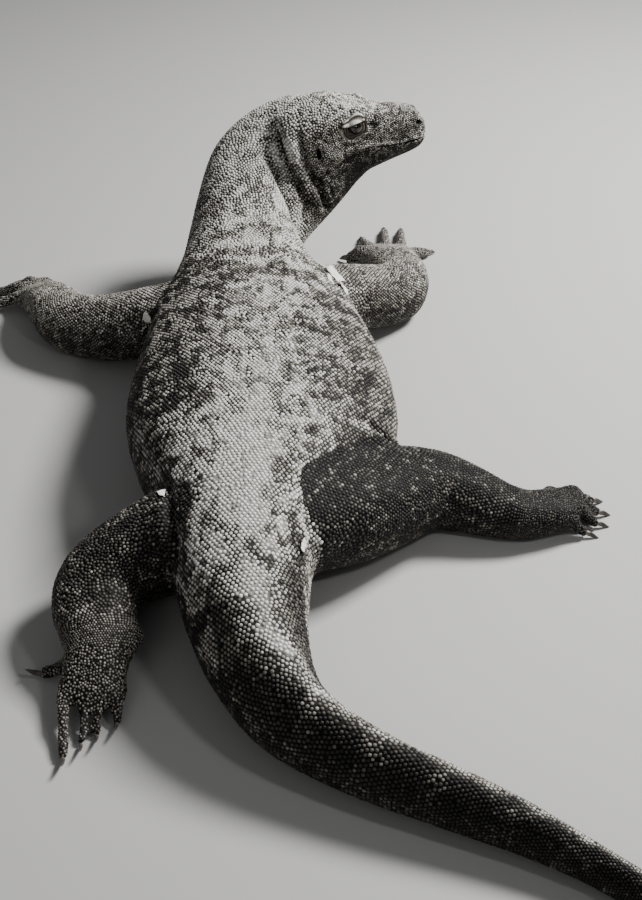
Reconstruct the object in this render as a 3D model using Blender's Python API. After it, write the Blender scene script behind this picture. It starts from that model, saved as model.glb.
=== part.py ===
"""A life-size Komodo dragon resting on its belly, head raised and turned to its right.

Units are metres, +Z is up, and the animal's trunk points along +Y, so its right side is at +X.
The body is shaped whole, as overlapping lofts fused into one skin, and is then parted with thin
cuts into the pieces a person would name. Eyes and claws are solids of their own.
Everything that touches the ground ends in a flat at z = 0.
"""

import math

import bmesh
import bpy
import numpy as np
from mathutils import Matrix, Vector

# ---------------------------------------------------------------- driving dimensions
GAP = 0.0003  # clearance between neighbouring pieces
VOXEL = 0.0036  # grid on which the lofts are fused
RING_STEP = 0.012  # spacing of the rings of a loft

MOUTH_FRONT = Vector((0.298, 0.978, 0.299))  # where the lips meet, under the nostrils
HEAD_YAW = math.radians(6.0)  # turned away from pure sideways
HEAD_PITCH = math.radians(4.0)  # nose up
EYE_BACK, EYE_OUT, EYE_UP = 0.133, 0.0412, 0.0460  # eye centre, from the front of the mouth
EYE_RADIUS = 0.0155

HIDE_COLOUR, HIDE_ROUGHNESS = (0.30, 0.27, 0.22), 0.75
CLAW_COLOUR, CLAW_ROUGHNESS = (0.12, 0.10, 0.08), 0.35
EYE_COLOUR, EYE_ROUGHNESS = (0.05, 0.03, 0.02), 0.08

TOE_OVERRUN = 0.008  # how far a toe is drawn past the cut for its claw
CLAW_SIDES = 6
CLAW_RINGS = 4

# Triangles spent on each form when the fused body is thinned, and on the whole of it.
BUDGET = {
    "body": 2300,
    "head": 1300,
    "arm_left": 260,
    "arm_right": 260,
    "leg_left": 340,
    "leg_right": 340,
    "hand_left": 500,
    "hand_right": 500,
    "foot_left": 500,
    "foot_right": 500,
}
FLESH_TRIANGLES = 6600
PIECE_SHARE = 0.50  # of a piece's triangles kept away from its cut ends

# ---------------------------------------------------------------- stations
# Each row is a cross-section: centre x, y, z, half width, height above and below the centre.
BODY = (
    (1.060, -0.600, 0.0060, 0.0040, 0.0060, 0.0066),
    (0.980, -0.634, 0.0088, 0.0062, 0.0090, 0.0095),
    (0.880, -0.650, 0.0115, 0.0086, 0.0120, 0.0122),
    (0.770, -0.638, 0.0142, 0.0110, 0.0148, 0.0150),
    (0.660, -0.598, 0.0170, 0.0134, 0.0176, 0.0178),
    (0.560, -0.540, 0.0198, 0.0158, 0.0206, 0.0206),
    (0.480, -0.486, 0.0226, 0.0184, 0.0234, 0.0235),
    (0.400, -0.428, 0.0266, 0.0218, 0.0274, 0.0276),
    (0.316, -0.380, 0.0350, 0.0300, 0.0370, 0.0362),
    (0.249, -0.350, 0.0400, 0.0344, 0.0430, 0.0412),
    (0.183, -0.320, 0.0440, 0.0372, 0.0480, 0.0452),
    (0.112, -0.280, 0.0510, 0.0440, 0.0550, 0.0522),
    (0.062, -0.238, 0.0600, 0.0530, 0.0650, 0.0612),
    (0.030, -0.180, 0.0740, 0.0660, 0.0790, 0.0752),
    (0.008, -0.092, 0.0880, 0.0830, 0.0960, 0.0900),
    (0.000, 0.005, 0.0930, 0.1000, 0.1120, 0.0960),
    (0.003, 0.090, 0.1000, 0.1300, 0.1150, 0.1040),
    (0.008, 0.170, 0.1000, 0.1750, 0.1180, 0.1060),
    (0.013, 0.270, 0.1000, 0.2080, 0.1200, 0.1080),
    (0.010, 0.380, 0.1000, 0.2110, 0.1200, 0.1080),
    (0.002, 0.480, 0.1000, 0.2000, 0.1200, 0.1080),
    (-0.010, 0.580, 0.1030, 0.1800, 0.1170, 0.1080),
    (-0.022, 0.670, 0.1080, 0.1500, 0.1110, 0.1080),
    (-0.032, 0.750, 0.1230, 0.1220, 0.1060, 0.1070),
    (-0.040, 0.830, 0.1520, 0.1000, 0.0990, 0.1000),
    (-0.040, 0.900, 0.1920, 0.0880, 0.0930, 0.0960),
    (-0.022, 0.955, 0.2350, 0.0800, 0.0900, 0.0960),
    (0.022, 0.980, 0.2680, 0.0740, 0.0880, 0.1000),
    (0.075, 0.972, 0.2880, 0.0680, 0.0880, 0.0960),
    (0.120, 0.962, 0.3020, 0.0600, 0.0780, 0.0860),
)

# The loose skin of the throat, from under the chin down to the chest.
THROAT = (
    (0.200, 0.965, 0.302, 0.028, 0.022, 0.022),
    (0.160, 0.955, 0.266, 0.039, 0.035, 0.038),
    (0.120, 0.942, 0.232, 0.049, 0.045, 0.049),
    (0.078, 0.920, 0.200, 0.056, 0.055, 0.053),
    (0.034, 0.888, 0.166, 0.059, 0.060, 0.052),
    (0.000, 0.845, 0.135, 0.060, 0.060, 0.050),
)


def unit(vector):
    """The same direction with length one."""
    return vector / np.linalg.norm(vector)


# ---------------------------------------------------------------- lofts
def smooth_rows(rows, step):
    """Rows read along a smooth curve through the given ones, about one step apart."""
    rows = np.asarray(rows, float)
    at = np.concatenate([[0.0], np.cumsum(np.linalg.norm(np.diff(rows[:, :3], axis=0), axis=1))])
    slope = np.gradient(rows, at, axis=0)
    count = max(2, int(round(at[-1] / step)) + 1)
    out = []
    for s in np.linspace(0.0, at[-1], count):
        i = min(max(int(np.searchsorted(at, s, side="right")) - 1, 0), len(at) - 2)
        span = at[i + 1] - at[i]
        t = (s - at[i]) / span
        out.append(
            (2 * t**3 - 3 * t**2 + 1) * rows[i]
            + (t**3 - 2 * t**2 + t) * span * slope[i]
            + (3 * t**2 - 2 * t**3) * rows[i + 1]
            + (t**3 - t**2) * span * slope[i + 1]
        )
    return np.array(out)


def section(half_width, rise, drop, sides, square=2.2):
    """Points of one cross-section, side and up, as a superellipse with unequal halves."""
    points = []
    for k in range(sides):
        a = 2 * math.pi * k / sides
        c, s = math.cos(a), math.sin(a)
        side = half_width * math.copysign(abs(c) ** (2 / square), c)
        up = (rise if s > 0 else drop) * math.copysign(abs(s) ** (2 / square), s)
        points.append((side, up))
    return points


def closed_loft(rings):
    """A closed bmesh through rings of equal count, each end drawn to its middle."""
    bm = bmesh.new()
    made = [[bm.verts.new(p) for p in ring] for ring in rings]
    for a, b in zip(made, made[1:]):
        for k in range(len(a)):
            j = (k + 1) % len(a)
            bm.faces.new((a[k], a[j], b[j], b[k]))
    for ring, turn in ((made[0], -1), (made[-1], 1)):
        middle = bm.verts.new(sum((v.co for v in ring), Vector()) / len(ring))
        for k in range(len(ring)):
            corners = (ring[k], ring[(k + 1) % len(ring)], middle)
            bm.faces.new(corners[::turn])
    bmesh.ops.recalc_face_normals(bm, faces=bm.faces)
    return bm


def tube(rows, sides=20, step=RING_STEP, square=2.2, up=(0, 0, 1)):
    """A loft along a bent centre line, each ring square to it and upright."""
    rows = smooth_rows(rows, step)
    along = np.gradient(rows[:, :3], axis=0)
    rings = []
    for row, direction in zip(rows, along):
        t = unit(direction)
        side = unit(np.cross(t, up))
        over = np.cross(side, t)
        flat = section(*np.maximum(row[3:6], 0.0008), sides, square)
        rings.append([row[:3] + a * side + b * over for a, b in flat])
    return closed_loft(rings)


def lump(centre, radii, turn=0.0, tilt=0.0):
    """An ellipsoid of muscle: turned about the vertical, then tipped about its own side axis."""
    bm = bmesh.new()
    bmesh.ops.create_uvsphere(bm, u_segments=24, v_segments=14, radius=1.0)
    place = (
        Matrix.Translation(centre)
        @ Matrix.Rotation(turn, 4, "Z")
        @ Matrix.Rotation(tilt, 4, "Y")
        @ Matrix.Diagonal((*radii, 1.0))
    )
    bmesh.ops.transform(bm, matrix=place, verts=bm.verts)
    return bm


# ---------------------------------------------------------------- head
def head_frame():
    """Matrix of the head: origin between the lips, +X out of the nose, +Y to its left, +Z up."""
    return (
        Matrix.Translation(MOUTH_FRONT)
        @ Matrix.Rotation(HEAD_YAW, 4, "Z")
        @ Matrix.Rotation(-HEAD_PITCH, 4, "Y")
    )


# Distance behind the lips, centre above the mouth plane, half width, rise and drop.
SKULL = (
    (-0.003, 0.020, 0.0120, 0.0100, 0.0140),
    (0.003, 0.020, 0.0240, 0.0230, 0.0290),
    (0.013, 0.019, 0.0325, 0.0350, 0.0390),
    (0.032, 0.018, 0.0385, 0.0430, 0.0465),
    (0.065, 0.018, 0.0420, 0.0470, 0.0570),
    (0.095, 0.018, 0.0460, 0.0520, 0.0650),
    (0.126, 0.018, 0.0510, 0.0610, 0.0740),
    (0.150, 0.016, 0.0580, 0.0760, 0.0790),
    (0.176, 0.014, 0.0640, 0.0860, 0.0830),
    (0.205, 0.010, 0.0670, 0.0840, 0.0860),
    (0.235, 0.004, 0.0680, 0.0820, 0.0860),
    (0.260, -0.002, 0.0660, 0.0800, 0.0840),
)

# Swellings of the head: centre and radii, on the left; the right side mirrors them.
HEAD_LUMPS = (
    ((-0.130, 0.0350, 0.0660), (0.031, 0.0135, 0.0120)),
    ((-0.190, 0.0420, 0.0100), (0.046, 0.0290, 0.0560)),
    ((-0.020, 0.0180, 0.0380), (0.019, 0.0165, 0.0190)),
    ((-0.110, 0.0250, -0.0150), (0.060, 0.0210, 0.0250)),
)


def head_lofts():
    """Skull and jaws, with brow ridges, cheek muscles and the swelling round the nostrils."""
    rows = [(-back, 0.0, mid, wide, rise, drop) for back, mid, wide, rise, drop in SKULL]
    pieces = [tube(rows, sides=28, step=0.006, square=2.5)]
    for (x, y, z), radii in HEAD_LUMPS:
        pieces += [lump((x, side * y, z), radii) for side in (1, -1)]
    for bm in pieces:
        bmesh.ops.transform(bm, matrix=head_frame(), verts=bm.verts)
    return pieces


# ---------------------------------------------------------------- limbs
# Rows as for the body. A limb starts inside the trunk and ends at the wrist or ankle.
ARM_LEFT = (
    (-0.080, 0.610, 0.112, 0.058, 0.060, 0.060),
    (-0.150, 0.630, 0.102, 0.062, 0.062, 0.066),
    (-0.225, 0.652, 0.078, 0.060, 0.058, 0.066),
    (-0.295, 0.668, 0.062, 0.057, 0.054, 0.062),
    (-0.350, 0.698, 0.056, 0.055, 0.051, 0.057),
    (-0.382, 0.742, 0.052, 0.053, 0.047, 0.053),
    (-0.402, 0.785, 0.045, 0.048, 0.041, 0.046),
    (-0.415, 0.818, 0.038, 0.043, 0.034, 0.039),
)
ARM_RIGHT = (
    (0.050, 0.635, 0.112, 0.058, 0.060, 0.060),
    (0.115, 0.686, 0.106, 0.058, 0.062, 0.062),
    (0.175, 0.735, 0.088, 0.055, 0.058, 0.062),
    (0.225, 0.776, 0.068, 0.053, 0.055, 0.062),
    (0.254, 0.816, 0.060, 0.053, 0.054, 0.061),
    (0.260, 0.866, 0.054, 0.052, 0.049, 0.055),
    (0.252, 0.915, 0.047, 0.049, 0.043, 0.048),
    (0.244, 0.955, 0.040, 0.046, 0.036, 0.041),
)
LEG_LEFT = (
    (-0.030, 0.045, 0.110, 0.070, 0.070, 0.080),
    (-0.085, 0.040, 0.104, 0.068, 0.066, 0.084),
    (-0.140, 0.028, 0.088, 0.062, 0.058, 0.082),
    (-0.180, 0.006, 0.072, 0.059, 0.052, 0.073),
    (-0.199, -0.030, 0.060, 0.059, 0.047, 0.061),
    (-0.194, -0.066, 0.053, 0.057, 0.044, 0.054),
    (-0.185, -0.098, 0.047, 0.050, 0.040, 0.048),
    (-0.181, -0.124, 0.041, 0.043, 0.034, 0.042),
)
LEG_RIGHT = (
    (0.040, 0.065, 0.110, 0.080, 0.072, 0.080),
    (0.100, 0.102, 0.102, 0.092, 0.070, 0.088),
    (0.160, 0.138, 0.091, 0.090, 0.066, 0.090),
    (0.218, 0.170, 0.078, 0.076, 0.060, 0.079),
    (0.272, 0.192, 0.067, 0.060, 0.053, 0.068),
    (0.322, 0.184, 0.056, 0.052, 0.045, 0.057),
    (0.370, 0.168, 0.046, 0.044, 0.036, 0.047),
    (0.408, 0.164, 0.039, 0.038, 0.029, 0.040),
)

# A palm or sole is a short flattened loft. Toes fan out from its front edge.
PALMS = {
    "hand_left": (
        (-0.410, 0.806, 0.040, 0.044, 0.035, 0.041),
        (-0.424, 0.834, 0.031, 0.050, 0.027, 0.032),
        (-0.436, 0.858, 0.024, 0.053, 0.021, 0.025),
        (-0.444, 0.874, 0.019, 0.048, 0.015, 0.020),
        (-0.448, 0.885, 0.016, 0.036, 0.011, 0.017),
    ),
    "hand_right": (
        (0.246, 0.948, 0.042, 0.046, 0.037, 0.043),
        (0.241, 0.984, 0.034, 0.053, 0.029, 0.035),
        (0.240, 1.016, 0.026, 0.058, 0.022, 0.027),
        (0.242, 1.042, 0.020, 0.054, 0.016, 0.021),
        (0.244, 1.058, 0.016, 0.044, 0.011, 0.017),
    ),
    "foot_left": (
        (-0.181, -0.116, 0.044, 0.045, 0.036, 0.045),
        (-0.184, -0.143, 0.036, 0.041, 0.029, 0.037),
        (-0.186, -0.168, 0.029, 0.043, 0.022, 0.030),
        (-0.188, -0.184, 0.024, 0.042, 0.017, 0.025),
        (-0.189, -0.193, 0.021, 0.036, 0.013, 0.022),
    ),
    "foot_right": (
        (0.396, 0.164, 0.040, 0.040, 0.031, 0.041),
        (0.422, 0.169, 0.038, 0.038, 0.028, 0.038),
        (0.446, 0.177, 0.036, 0.039, 0.025, 0.030),
        (0.466, 0.184, 0.034, 0.038, 0.021, 0.022),
        (0.478, 0.187, 0.031, 0.032, 0.015, 0.016),
    ),
}

# Per toe: start on the palm, heading in degrees from +X, length, height of the arch, thickness.
TOES = {
    "hand_left": (
        ((-0.398, 0.868, 0.018), 98, 0.050, 0.022, 0.0100),
        ((-0.423, 0.880, 0.018), 122, 0.058, 0.031, 0.0118),
        ((-0.447, 0.880, 0.018), 138, 0.066, 0.033, 0.0120),
        ((-0.466, 0.865, 0.018), 158, 0.070, 0.032, 0.0120),
        ((-0.468, 0.840, 0.018), 186, 0.062, 0.026, 0.0115),
    ),
    "hand_right": (
        ((0.196, 1.006, 0.024), 146, 0.046, 0.036, 0.0145),
        ((0.206, 1.042, 0.018), 101, 0.084, 0.024, 0.0105),
        ((0.239, 1.050, 0.018), 90, 0.118, 0.025, 0.0110),
        ((0.270, 1.048, 0.018), 88, 0.116, 0.025, 0.0110),
        ((0.288, 1.026, 0.018), 42, 0.054, 0.024, 0.0115),
    ),
    "foot_left": (
        ((-0.149, -0.172, 0.020), -92, 0.042, 0.022, 0.0088),
        ((-0.174, -0.182, 0.020), -88, 0.050, 0.022, 0.0070),
        ((-0.194, -0.184, 0.020), -86, 0.062, 0.022, 0.0070),
        ((-0.221, -0.178, 0.020), -82, 0.092, 0.022, 0.0092),
        ((-0.208, -0.128, 0.022), -178, 0.052, 0.024, 0.0105),
    ),
    "foot_right": (
        ((0.460, 0.160, 0.030), -6, 0.040, 0.036, 0.0100),
        ((0.472, 0.177, 0.030), 2, 0.048, 0.041, 0.0102),
        ((0.474, 0.195, 0.030), 10, 0.054, 0.042, 0.0106),
        ((0.466, 0.212, 0.030), 21, 0.060, 0.040, 0.0108),
        ((0.440, 0.210, 0.032), 52, 0.054, 0.034, 0.0105),
    ),
}
CLAW_LENGTH = {"hand": 0.024, "foot": 0.026}
CLAW_DROP = {"hand_left": 14.0, "hand_right": 14.0, "foot_left": -16.0, "foot_right": 22.0}

# Muscle and bone that the lofts leave out: centre, radii, turn about the vertical.
BODY_LUMPS = (
    ((-0.143, -0.108, 0.054), (0.020, 0.022, 0.022), 0.0),
    ((0.090, 0.055, 0.110), (0.070, 0.060, 0.058), 0.5),
    ((-0.075, 0.020, 0.105), (0.055, 0.060, 0.058), 0.0),
)


def toe_rows(start, heading, length, arch, thick):
    """Cross-sections of one toe: over the knuckle, down to the pad, and a little past its end."""
    way = Vector((math.cos(math.radians(heading)), math.sin(math.radians(heading)), 0))
    profile = (
        (-0.25, 0.95, 1.05),
        (0.10, 1.00, 1.10),
        (0.34, 1.06, 1.02),
        (0.56, 0.72, 0.90),
        (0.78, 0.52, 0.98),
        (1.00, 0.42, 0.82),
        (1.00 + TOE_OVERRUN / length, 0.42, 0.74),
    )
    rows = []
    for share, height, fat in profile:
        centre = Vector(start) + way * (length * share)
        lift = thick * 0.80 + (arch - thick * 0.80) * min(1.0, max(0.0, (height - 0.42) / 0.64))
        rows.append((centre.x, centre.y, lift, thick * fat * 0.96, thick * fat, thick * fat))
    return rows


def toe_end(rows):
    """Where a toe is cut off square for its claw, and the level direction it points in."""
    end, past = Vector(rows[-2][:3]), Vector(rows[-1][:3])
    return end, (past - end).normalized()


def claw_solid(rows, long, drop):
    """A hooked claw that grows on from its toe, its base a flat face half way down the pad."""
    base, way = toe_end(rows)
    point = base + way * GAP
    side = way.cross(Vector((0, 0, 1)))
    bend = math.radians(abs(drop))
    sense = math.copysign(1.0, drop)
    rings = []
    for k in range(CLAW_RINGS):
        share = k / CLAW_RINGS
        fat = rows[-2][4] * (1 - share) ** 0.7
        heading = way * math.cos(bend) - Vector((0, 0, sense * math.sin(bend)))
        over = side.cross(heading if k else way)
        flat = section(fat * 0.50, fat * 0.72, fat * 0.60, CLAW_SIDES, 2.0)
        rings.append([point + a * side + b * over for a, b in flat])
        point = point + heading * (long / CLAW_RINGS)
        bend += math.radians(9.0)
    bm = closed_loft(rings)
    tip = max(bm.verts, key=lambda v: (v.co - base).dot(way))
    tip.co = point
    for v in bm.verts:
        v.co.z = max(v.co.z, GAP)
    return bm


# ---------------------------------------------------------------- fusing and parting
def mesh_object(name, bm):
    """Links a bmesh into the scene as an object and frees it."""
    mesh = bpy.data.meshes.new(name)
    bm.to_mesh(mesh)
    bm.free()
    made = bpy.data.objects.new(name, mesh)
    bpy.context.scene.collection.objects.link(made)
    return made


def evaluated_bmesh(obj):
    """The object's mesh with its modifiers applied, as a new bmesh. The object is removed."""
    graph = bpy.context.evaluated_depsgraph_get()
    mesh = bpy.data.meshes.new_from_object(obj.evaluated_get(graph))
    bm = bmesh.new()
    bm.from_mesh(mesh)
    bpy.data.meshes.remove(mesh)
    bpy.data.objects.remove(obj)
    return bm


def knead(bm, centre, radius, times):
    """Smooths the skin round a joint, where two lofts meet in a crease."""
    centre = Vector(centre)
    near = [v for v in bm.verts if (v.co - centre).length < radius]
    for _ in range(times):
        bmesh.ops.smooth_vert(
            bm, verts=near, factor=0.5, use_axis_x=True, use_axis_y=True, use_axis_z=True
        )


def fused(lofts):
    """All lofts as one closed skin."""
    whole = bmesh.new()
    for bm in lofts:
        mesh = bpy.data.meshes.new("loft")
        bm.to_mesh(mesh)
        bm.free()
        whole.from_mesh(mesh)
        bpy.data.meshes.remove(mesh)
    obj = mesh_object("whole", whole)
    remesh = obj.modifiers.new("fuse", "REMESH")
    remesh.mode = "VOXEL"
    remesh.voxel_size = VOXEL
    return evaluated_bmesh(obj)


def owners(points, forms):
    """For each point, the name of the form whose centre line it lies nearest to, by thickness."""
    names, best = np.empty(len(points), object), np.full(len(points), np.inf)
    for name, rows in forms.items():
        for row in rows:
            reach = np.linalg.norm(points - row[:3], axis=1) / max(row[3], row[4])
            nearer = reach < best
            names[nearer], best[nearer] = name, reach[nearer]
    return names


def collapsed(bm, ratio, chosen=None):
    """Fewer triangles, taken where they are missed least, among the chosen vertices only."""
    obj = mesh_object("whole", bm)
    thin = obj.modifiers.new("thin", "DECIMATE")
    thin.ratio = ratio
    thin.use_collapse_triangulate = True
    if chosen is not None:
        group = obj.vertex_groups.new(name="chosen")
        group.add([int(i) for i in chosen], 1.0, "REPLACE")
        thin.vertex_group = group.name
        thin.vertex_group_factor = 1.0
    return evaluated_bmesh(obj)


def thinned(bm, forms):
    """Each form brought down to its budget, then the borders between them evened out."""
    bmesh.ops.triangulate(bm, faces=bm.faces)
    for name, keep in BUDGET.items():
        points = np.array([v.co for v in bm.verts])
        mine = owners(points, forms) == name
        held = sum(all(mine[v.index] for v in f.verts) for f in bm.faces)
        ratio = 1.0 - (held - keep) / len(bm.faces)
        bm = collapsed(bm, ratio, np.nonzero(mine)[0])
    return collapsed(bm, FLESH_TRIANGLES / len(bm.faces))


def level_on_floor(bm):
    """Cuts the underside off at z = 0 and closes it with flats."""
    geom = [*bm.verts, *bm.edges, *bm.faces]
    bmesh.ops.bisect_plane(
        bm, geom=geom, dist=1e-6, plane_co=(0, 0, 0), plane_no=(0, 0, 1), clear_inner=True
    )
    close_rims(bm)


def connected(pool):
    """Takes out of a dict of faces the first one and all that it is joined to."""
    start = next(iter(pool))
    del pool[start]
    group, open_faces = {start: None}, [start]
    while open_faces:
        for edge in open_faces.pop().edges:
            for other in edge.link_faces:
                if other in pool:
                    del pool[other]
                    group[other] = None
                    open_faces.append(other)
    return list(group)


def belt(bm, centre, normal):
    """The ring of faces that the plane crosses nearest to the centre."""
    side = {v: (v.co - centre).dot(normal) for v in bm.verts}
    crossed = {}
    for face in bm.faces:
        reach = [side[v] for v in face.verts]
        if min(reach) < 0 < max(reach):
            crossed[face] = None
    rings = []
    while crossed:
        ring = connected(crossed)
        middle = sum((f.calc_center_median() for f in ring), Vector()) / len(ring)
        rings.append(((middle - centre).length, len(rings), ring))
    return min(rings)[2]


def slit(bm, centre, normal):
    """Cuts the skin open all round the nearest belt and returns the rim's vertices."""
    ring = belt(bm, centre, normal)
    edges = dict.fromkeys(e for f in ring for e in f.edges)
    verts = dict.fromkeys(v for f in ring for v in f.verts)
    geom = [*ring, *edges, *verts]
    cut = bmesh.ops.bisect_plane(bm, geom=geom, dist=1e-6, plane_co=centre, plane_no=normal)
    bmesh.ops.split_edges(bm, edges=[e for e in cut["geom_cut"] if isinstance(e, bmesh.types.BMEdge)])
    return list(dict.fromkeys(v for e in bm.edges if e.is_boundary for v in e.verts))


def close_rims(bm):
    """Fills every open rim with a flat of triangles, and marks the rim's vertices."""
    rim = bm.verts.layers.int["rim"]
    edges = [e for e in bm.edges if e.is_boundary]
    for vert in {v for e in edges for v in e.verts}:
        vert[rim] = 1
    filled = bmesh.ops.holes_fill(bm, edges=edges)
    bmesh.ops.triangulate(bm, faces=filled["faces"])


def part_at(bm, centre, normal):
    """Parts the body at this plane, and closes both sides half a gap apart."""
    centre, normal = Vector(centre), Vector(normal).normalized()
    for vert in slit(bm, centre, normal):
        inward = sum((f.calc_center_median() for f in vert.link_faces), Vector()) / len(vert.link_faces)
        vert.co += normal * math.copysign(GAP / 2, (inward - vert.co).dot(normal))
    close_rims(bm)


def blunted(bm, end, way):
    """Cuts a toe off square at its end, where the claw begins."""
    beside = [f for vert in slit(bm, end, way) for f in vert.link_faces]
    tip = next(f for f in beside if (f.calc_center_median() - end).dot(way) > 0)
    pool = {tip: None} | dict.fromkeys(f for f in bm.faces if f != tip)
    bmesh.ops.delete(bm, geom=connected(pool), context="FACES")
    close_rims(bm)


def islands(bm):
    """The separate closed shells, as lists of faces."""
    pool, found = dict.fromkeys(bm.faces), []
    while pool:
        found.append(connected(pool))
    return found


def lifted(bm, faces):
    """These faces alone, with fewer triangles wherever no flat end would change."""
    rim = bm.verts.layers.int["rim"]
    alone = bmesh.new()
    copies, free = {}, []
    for vert in dict.fromkeys(v for f in faces for v in f.verts):
        if not vert[rim]:
            free.append(len(copies))
        copies[vert] = alone.verts.new(vert.co)
    for face in faces:
        alone.faces.new([copies[v] for v in face.verts])
    share = 1.0 - (1.0 - PIECE_SHARE) * len(free) / len(copies)
    thin = collapsed(alone, share, free)
    for vert in thin.verts:
        vert.co.z = max(vert.co.z, 0.0)
    return thin


# Where two lofts meet in a crease: centre, radius and passes of smoothing.
KNEADED = (
    ((-0.13, 0.62, 0.11), 0.10, 12),
    ((0.10, 0.67, 0.11), 0.10, 12),
    ((-0.09, 0.03, 0.10), 0.11, 12),
    ((0.10, 0.11, 0.10), 0.12, 12),
    ((0.05, 0.96, 0.26), 0.11, 10),
    ((0.13, 0.94, 0.23), 0.09, 8),
)

# Where the body is parted: point on the plane, and its normal.
CUTS = {
    "neck_head": ((0.070, 0.967, 0.285), (0.93, 0.0, 0.36)),
    "mouth": (MOUTH_FRONT - Vector((0.10, 0.0, 0.016)), (-0.16, -0.01, 1.0)),
    "trunk_neck": ((-0.032, 0.760, 0.125), (-0.05, 1.0, 0.32)),
    "trunk_pelvis": ((0.000, 0.165, 0.100), (-0.31, 0.95, 0.0)),
    "pelvis_tail": ((0.008, -0.085, 0.085), (-0.12, 1.0, 0.0)),
    "tail_1_2": ((0.183, -0.320, 0.044), (-0.91, 0.42, 0.0)),
    "tail_2_3": ((0.440, -0.457, 0.024), (-0.82, 0.57, 0.0)),
    "tail_3_4": ((0.740, -0.630, 0.015), (-0.96, 0.28, 0.0)),
    "shoulder_left": ((-0.185, 0.640, 0.092), (-0.93, 0.30, -0.15)),
    "elbow_left": ((-0.346, 0.694, 0.056), (-0.66, 0.75, 0.0)),
    "wrist_left": ((-0.411, 0.808, 0.040), (-0.38, 0.92, 0.0)),
    "shoulder_right": ((0.148, 0.712, 0.096), (0.80, 0.58, -0.15)),
    "elbow_right": ((0.250, 0.808, 0.060), (0.60, 0.80, 0.0)),
    "wrist_right": ((0.245, 0.950, 0.041), (-0.18, 0.98, 0.0)),
    "hip_left": ((-0.105, 0.036, 0.098), (-0.98, -0.15, 0.0)),
    "knee_left": ((-0.194, -0.012, 0.066), (-0.50, -0.86, 0.0)),
    "ankle_left": ((-0.182, -0.114, 0.044), (0.14, -0.99, 0.0)),
    "hip_right": ((0.118, 0.112, 0.100), (0.86, 0.50, 0.0)),
    "knee_right": ((0.258, 0.188, 0.070), (0.97, 0.24, 0.0)),
    "ankle_right": ((0.404, 0.176, 0.042), (0.98, 0.10, 0.0)),
}

# A point well inside each piece, by which the islands are named.
INSIDE = {
    "head": (0.170, 0.965, 0.335),
    "jaw": (0.190, 0.960, 0.255),
    "neck": (-0.020, 0.880, 0.190),
    "trunk": (0.005, 0.430, 0.110),
    "pelvis": (0.000, 0.025, 0.100),
    "tail_base": (0.040, -0.200, 0.070),
    "tail_middle": (0.300, -0.375, 0.035),
    "tail_rear": (0.590, -0.556, 0.019),
    "tail_tip": (0.900, -0.640, 0.011),
    "upper_arm_left": (-0.265, 0.665, 0.068),
    "forearm_left": (-0.385, 0.750, 0.050),
    "hand_left": (-0.450, 0.870, 0.020),
    "upper_arm_right": (0.200, 0.760, 0.078),
    "forearm_right": (0.258, 0.880, 0.050),
    "hand_right": (0.248, 1.050, 0.020),
    "thigh_left": (-0.150, 0.015, 0.080),
    "shank_left": (-0.194, -0.064, 0.052),
    "foot_left": (-0.190, -0.190, 0.024),
    "thigh_right": (0.190, 0.150, 0.084),
    "shank_right": (0.330, 0.186, 0.056),
    "foot_right": (0.500, 0.210, 0.030),
}


def named_islands(bm):
    """One bmesh per piece, named by the marker point nearest to its middle."""
    pieces = {}
    for group in islands(bm):
        points = [v.co for v in {v for f in group for v in f.verts}]
        middle = sum(points, Vector()) / len(points)
        name = min(INSIDE, key=lambda n: (Vector(INSIDE[n]) - middle).length)
        if name in pieces:
            raise ValueError(f"two pieces are nearest to {name}")
        pieces[name] = lifted(bm, group)
    return pieces


def clear_scene():
    for obj in list(bpy.data.objects):
        bpy.data.objects.remove(obj)


# ---------------------------------------------------------------- eyes and finish
def eye_ball(radius, side):
    """A ball at the eye's place. side is 1 for the left eye and -1 for the right."""
    bm = bmesh.new()
    bmesh.ops.create_uvsphere(bm, u_segments=14, v_segments=8, radius=radius)
    place = head_frame() @ Matrix.Translation((-EYE_BACK, side * EYE_OUT, EYE_UP))
    bmesh.ops.transform(bm, matrix=place, verts=bm.verts)
    return bm


def finished(obj, colour, roughness):
    """Gives a node its material and its shading."""
    material = bpy.data.materials.new(obj.name)
    material.use_nodes = True
    shader = material.node_tree.nodes["Principled BSDF"]
    shader.inputs["Base Color"].default_value = (*colour, 1.0)
    shader.inputs["Roughness"].default_value = roughness
    shader.inputs["Metallic"].default_value = 0.0
    obj.data.materials.clear()
    obj.data.materials.append(material)
    obj.data.shade_smooth()
    obj.data.set_sharp_from_angle(angle=math.radians(50.0))


def settle():
    """Moves everything so that the origin is the middle of the footprint, on the floor."""
    points = [v.co for obj in bpy.data.objects for v in obj.data.vertices if not obj.hide_render]
    middle = [(min(p[i] for p in points) + max(p[i] for p in points)) / 2 for i in (0, 1)]
    for obj in bpy.data.objects:
        obj.location = (-middle[0], -middle[1], 0.0)


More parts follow.
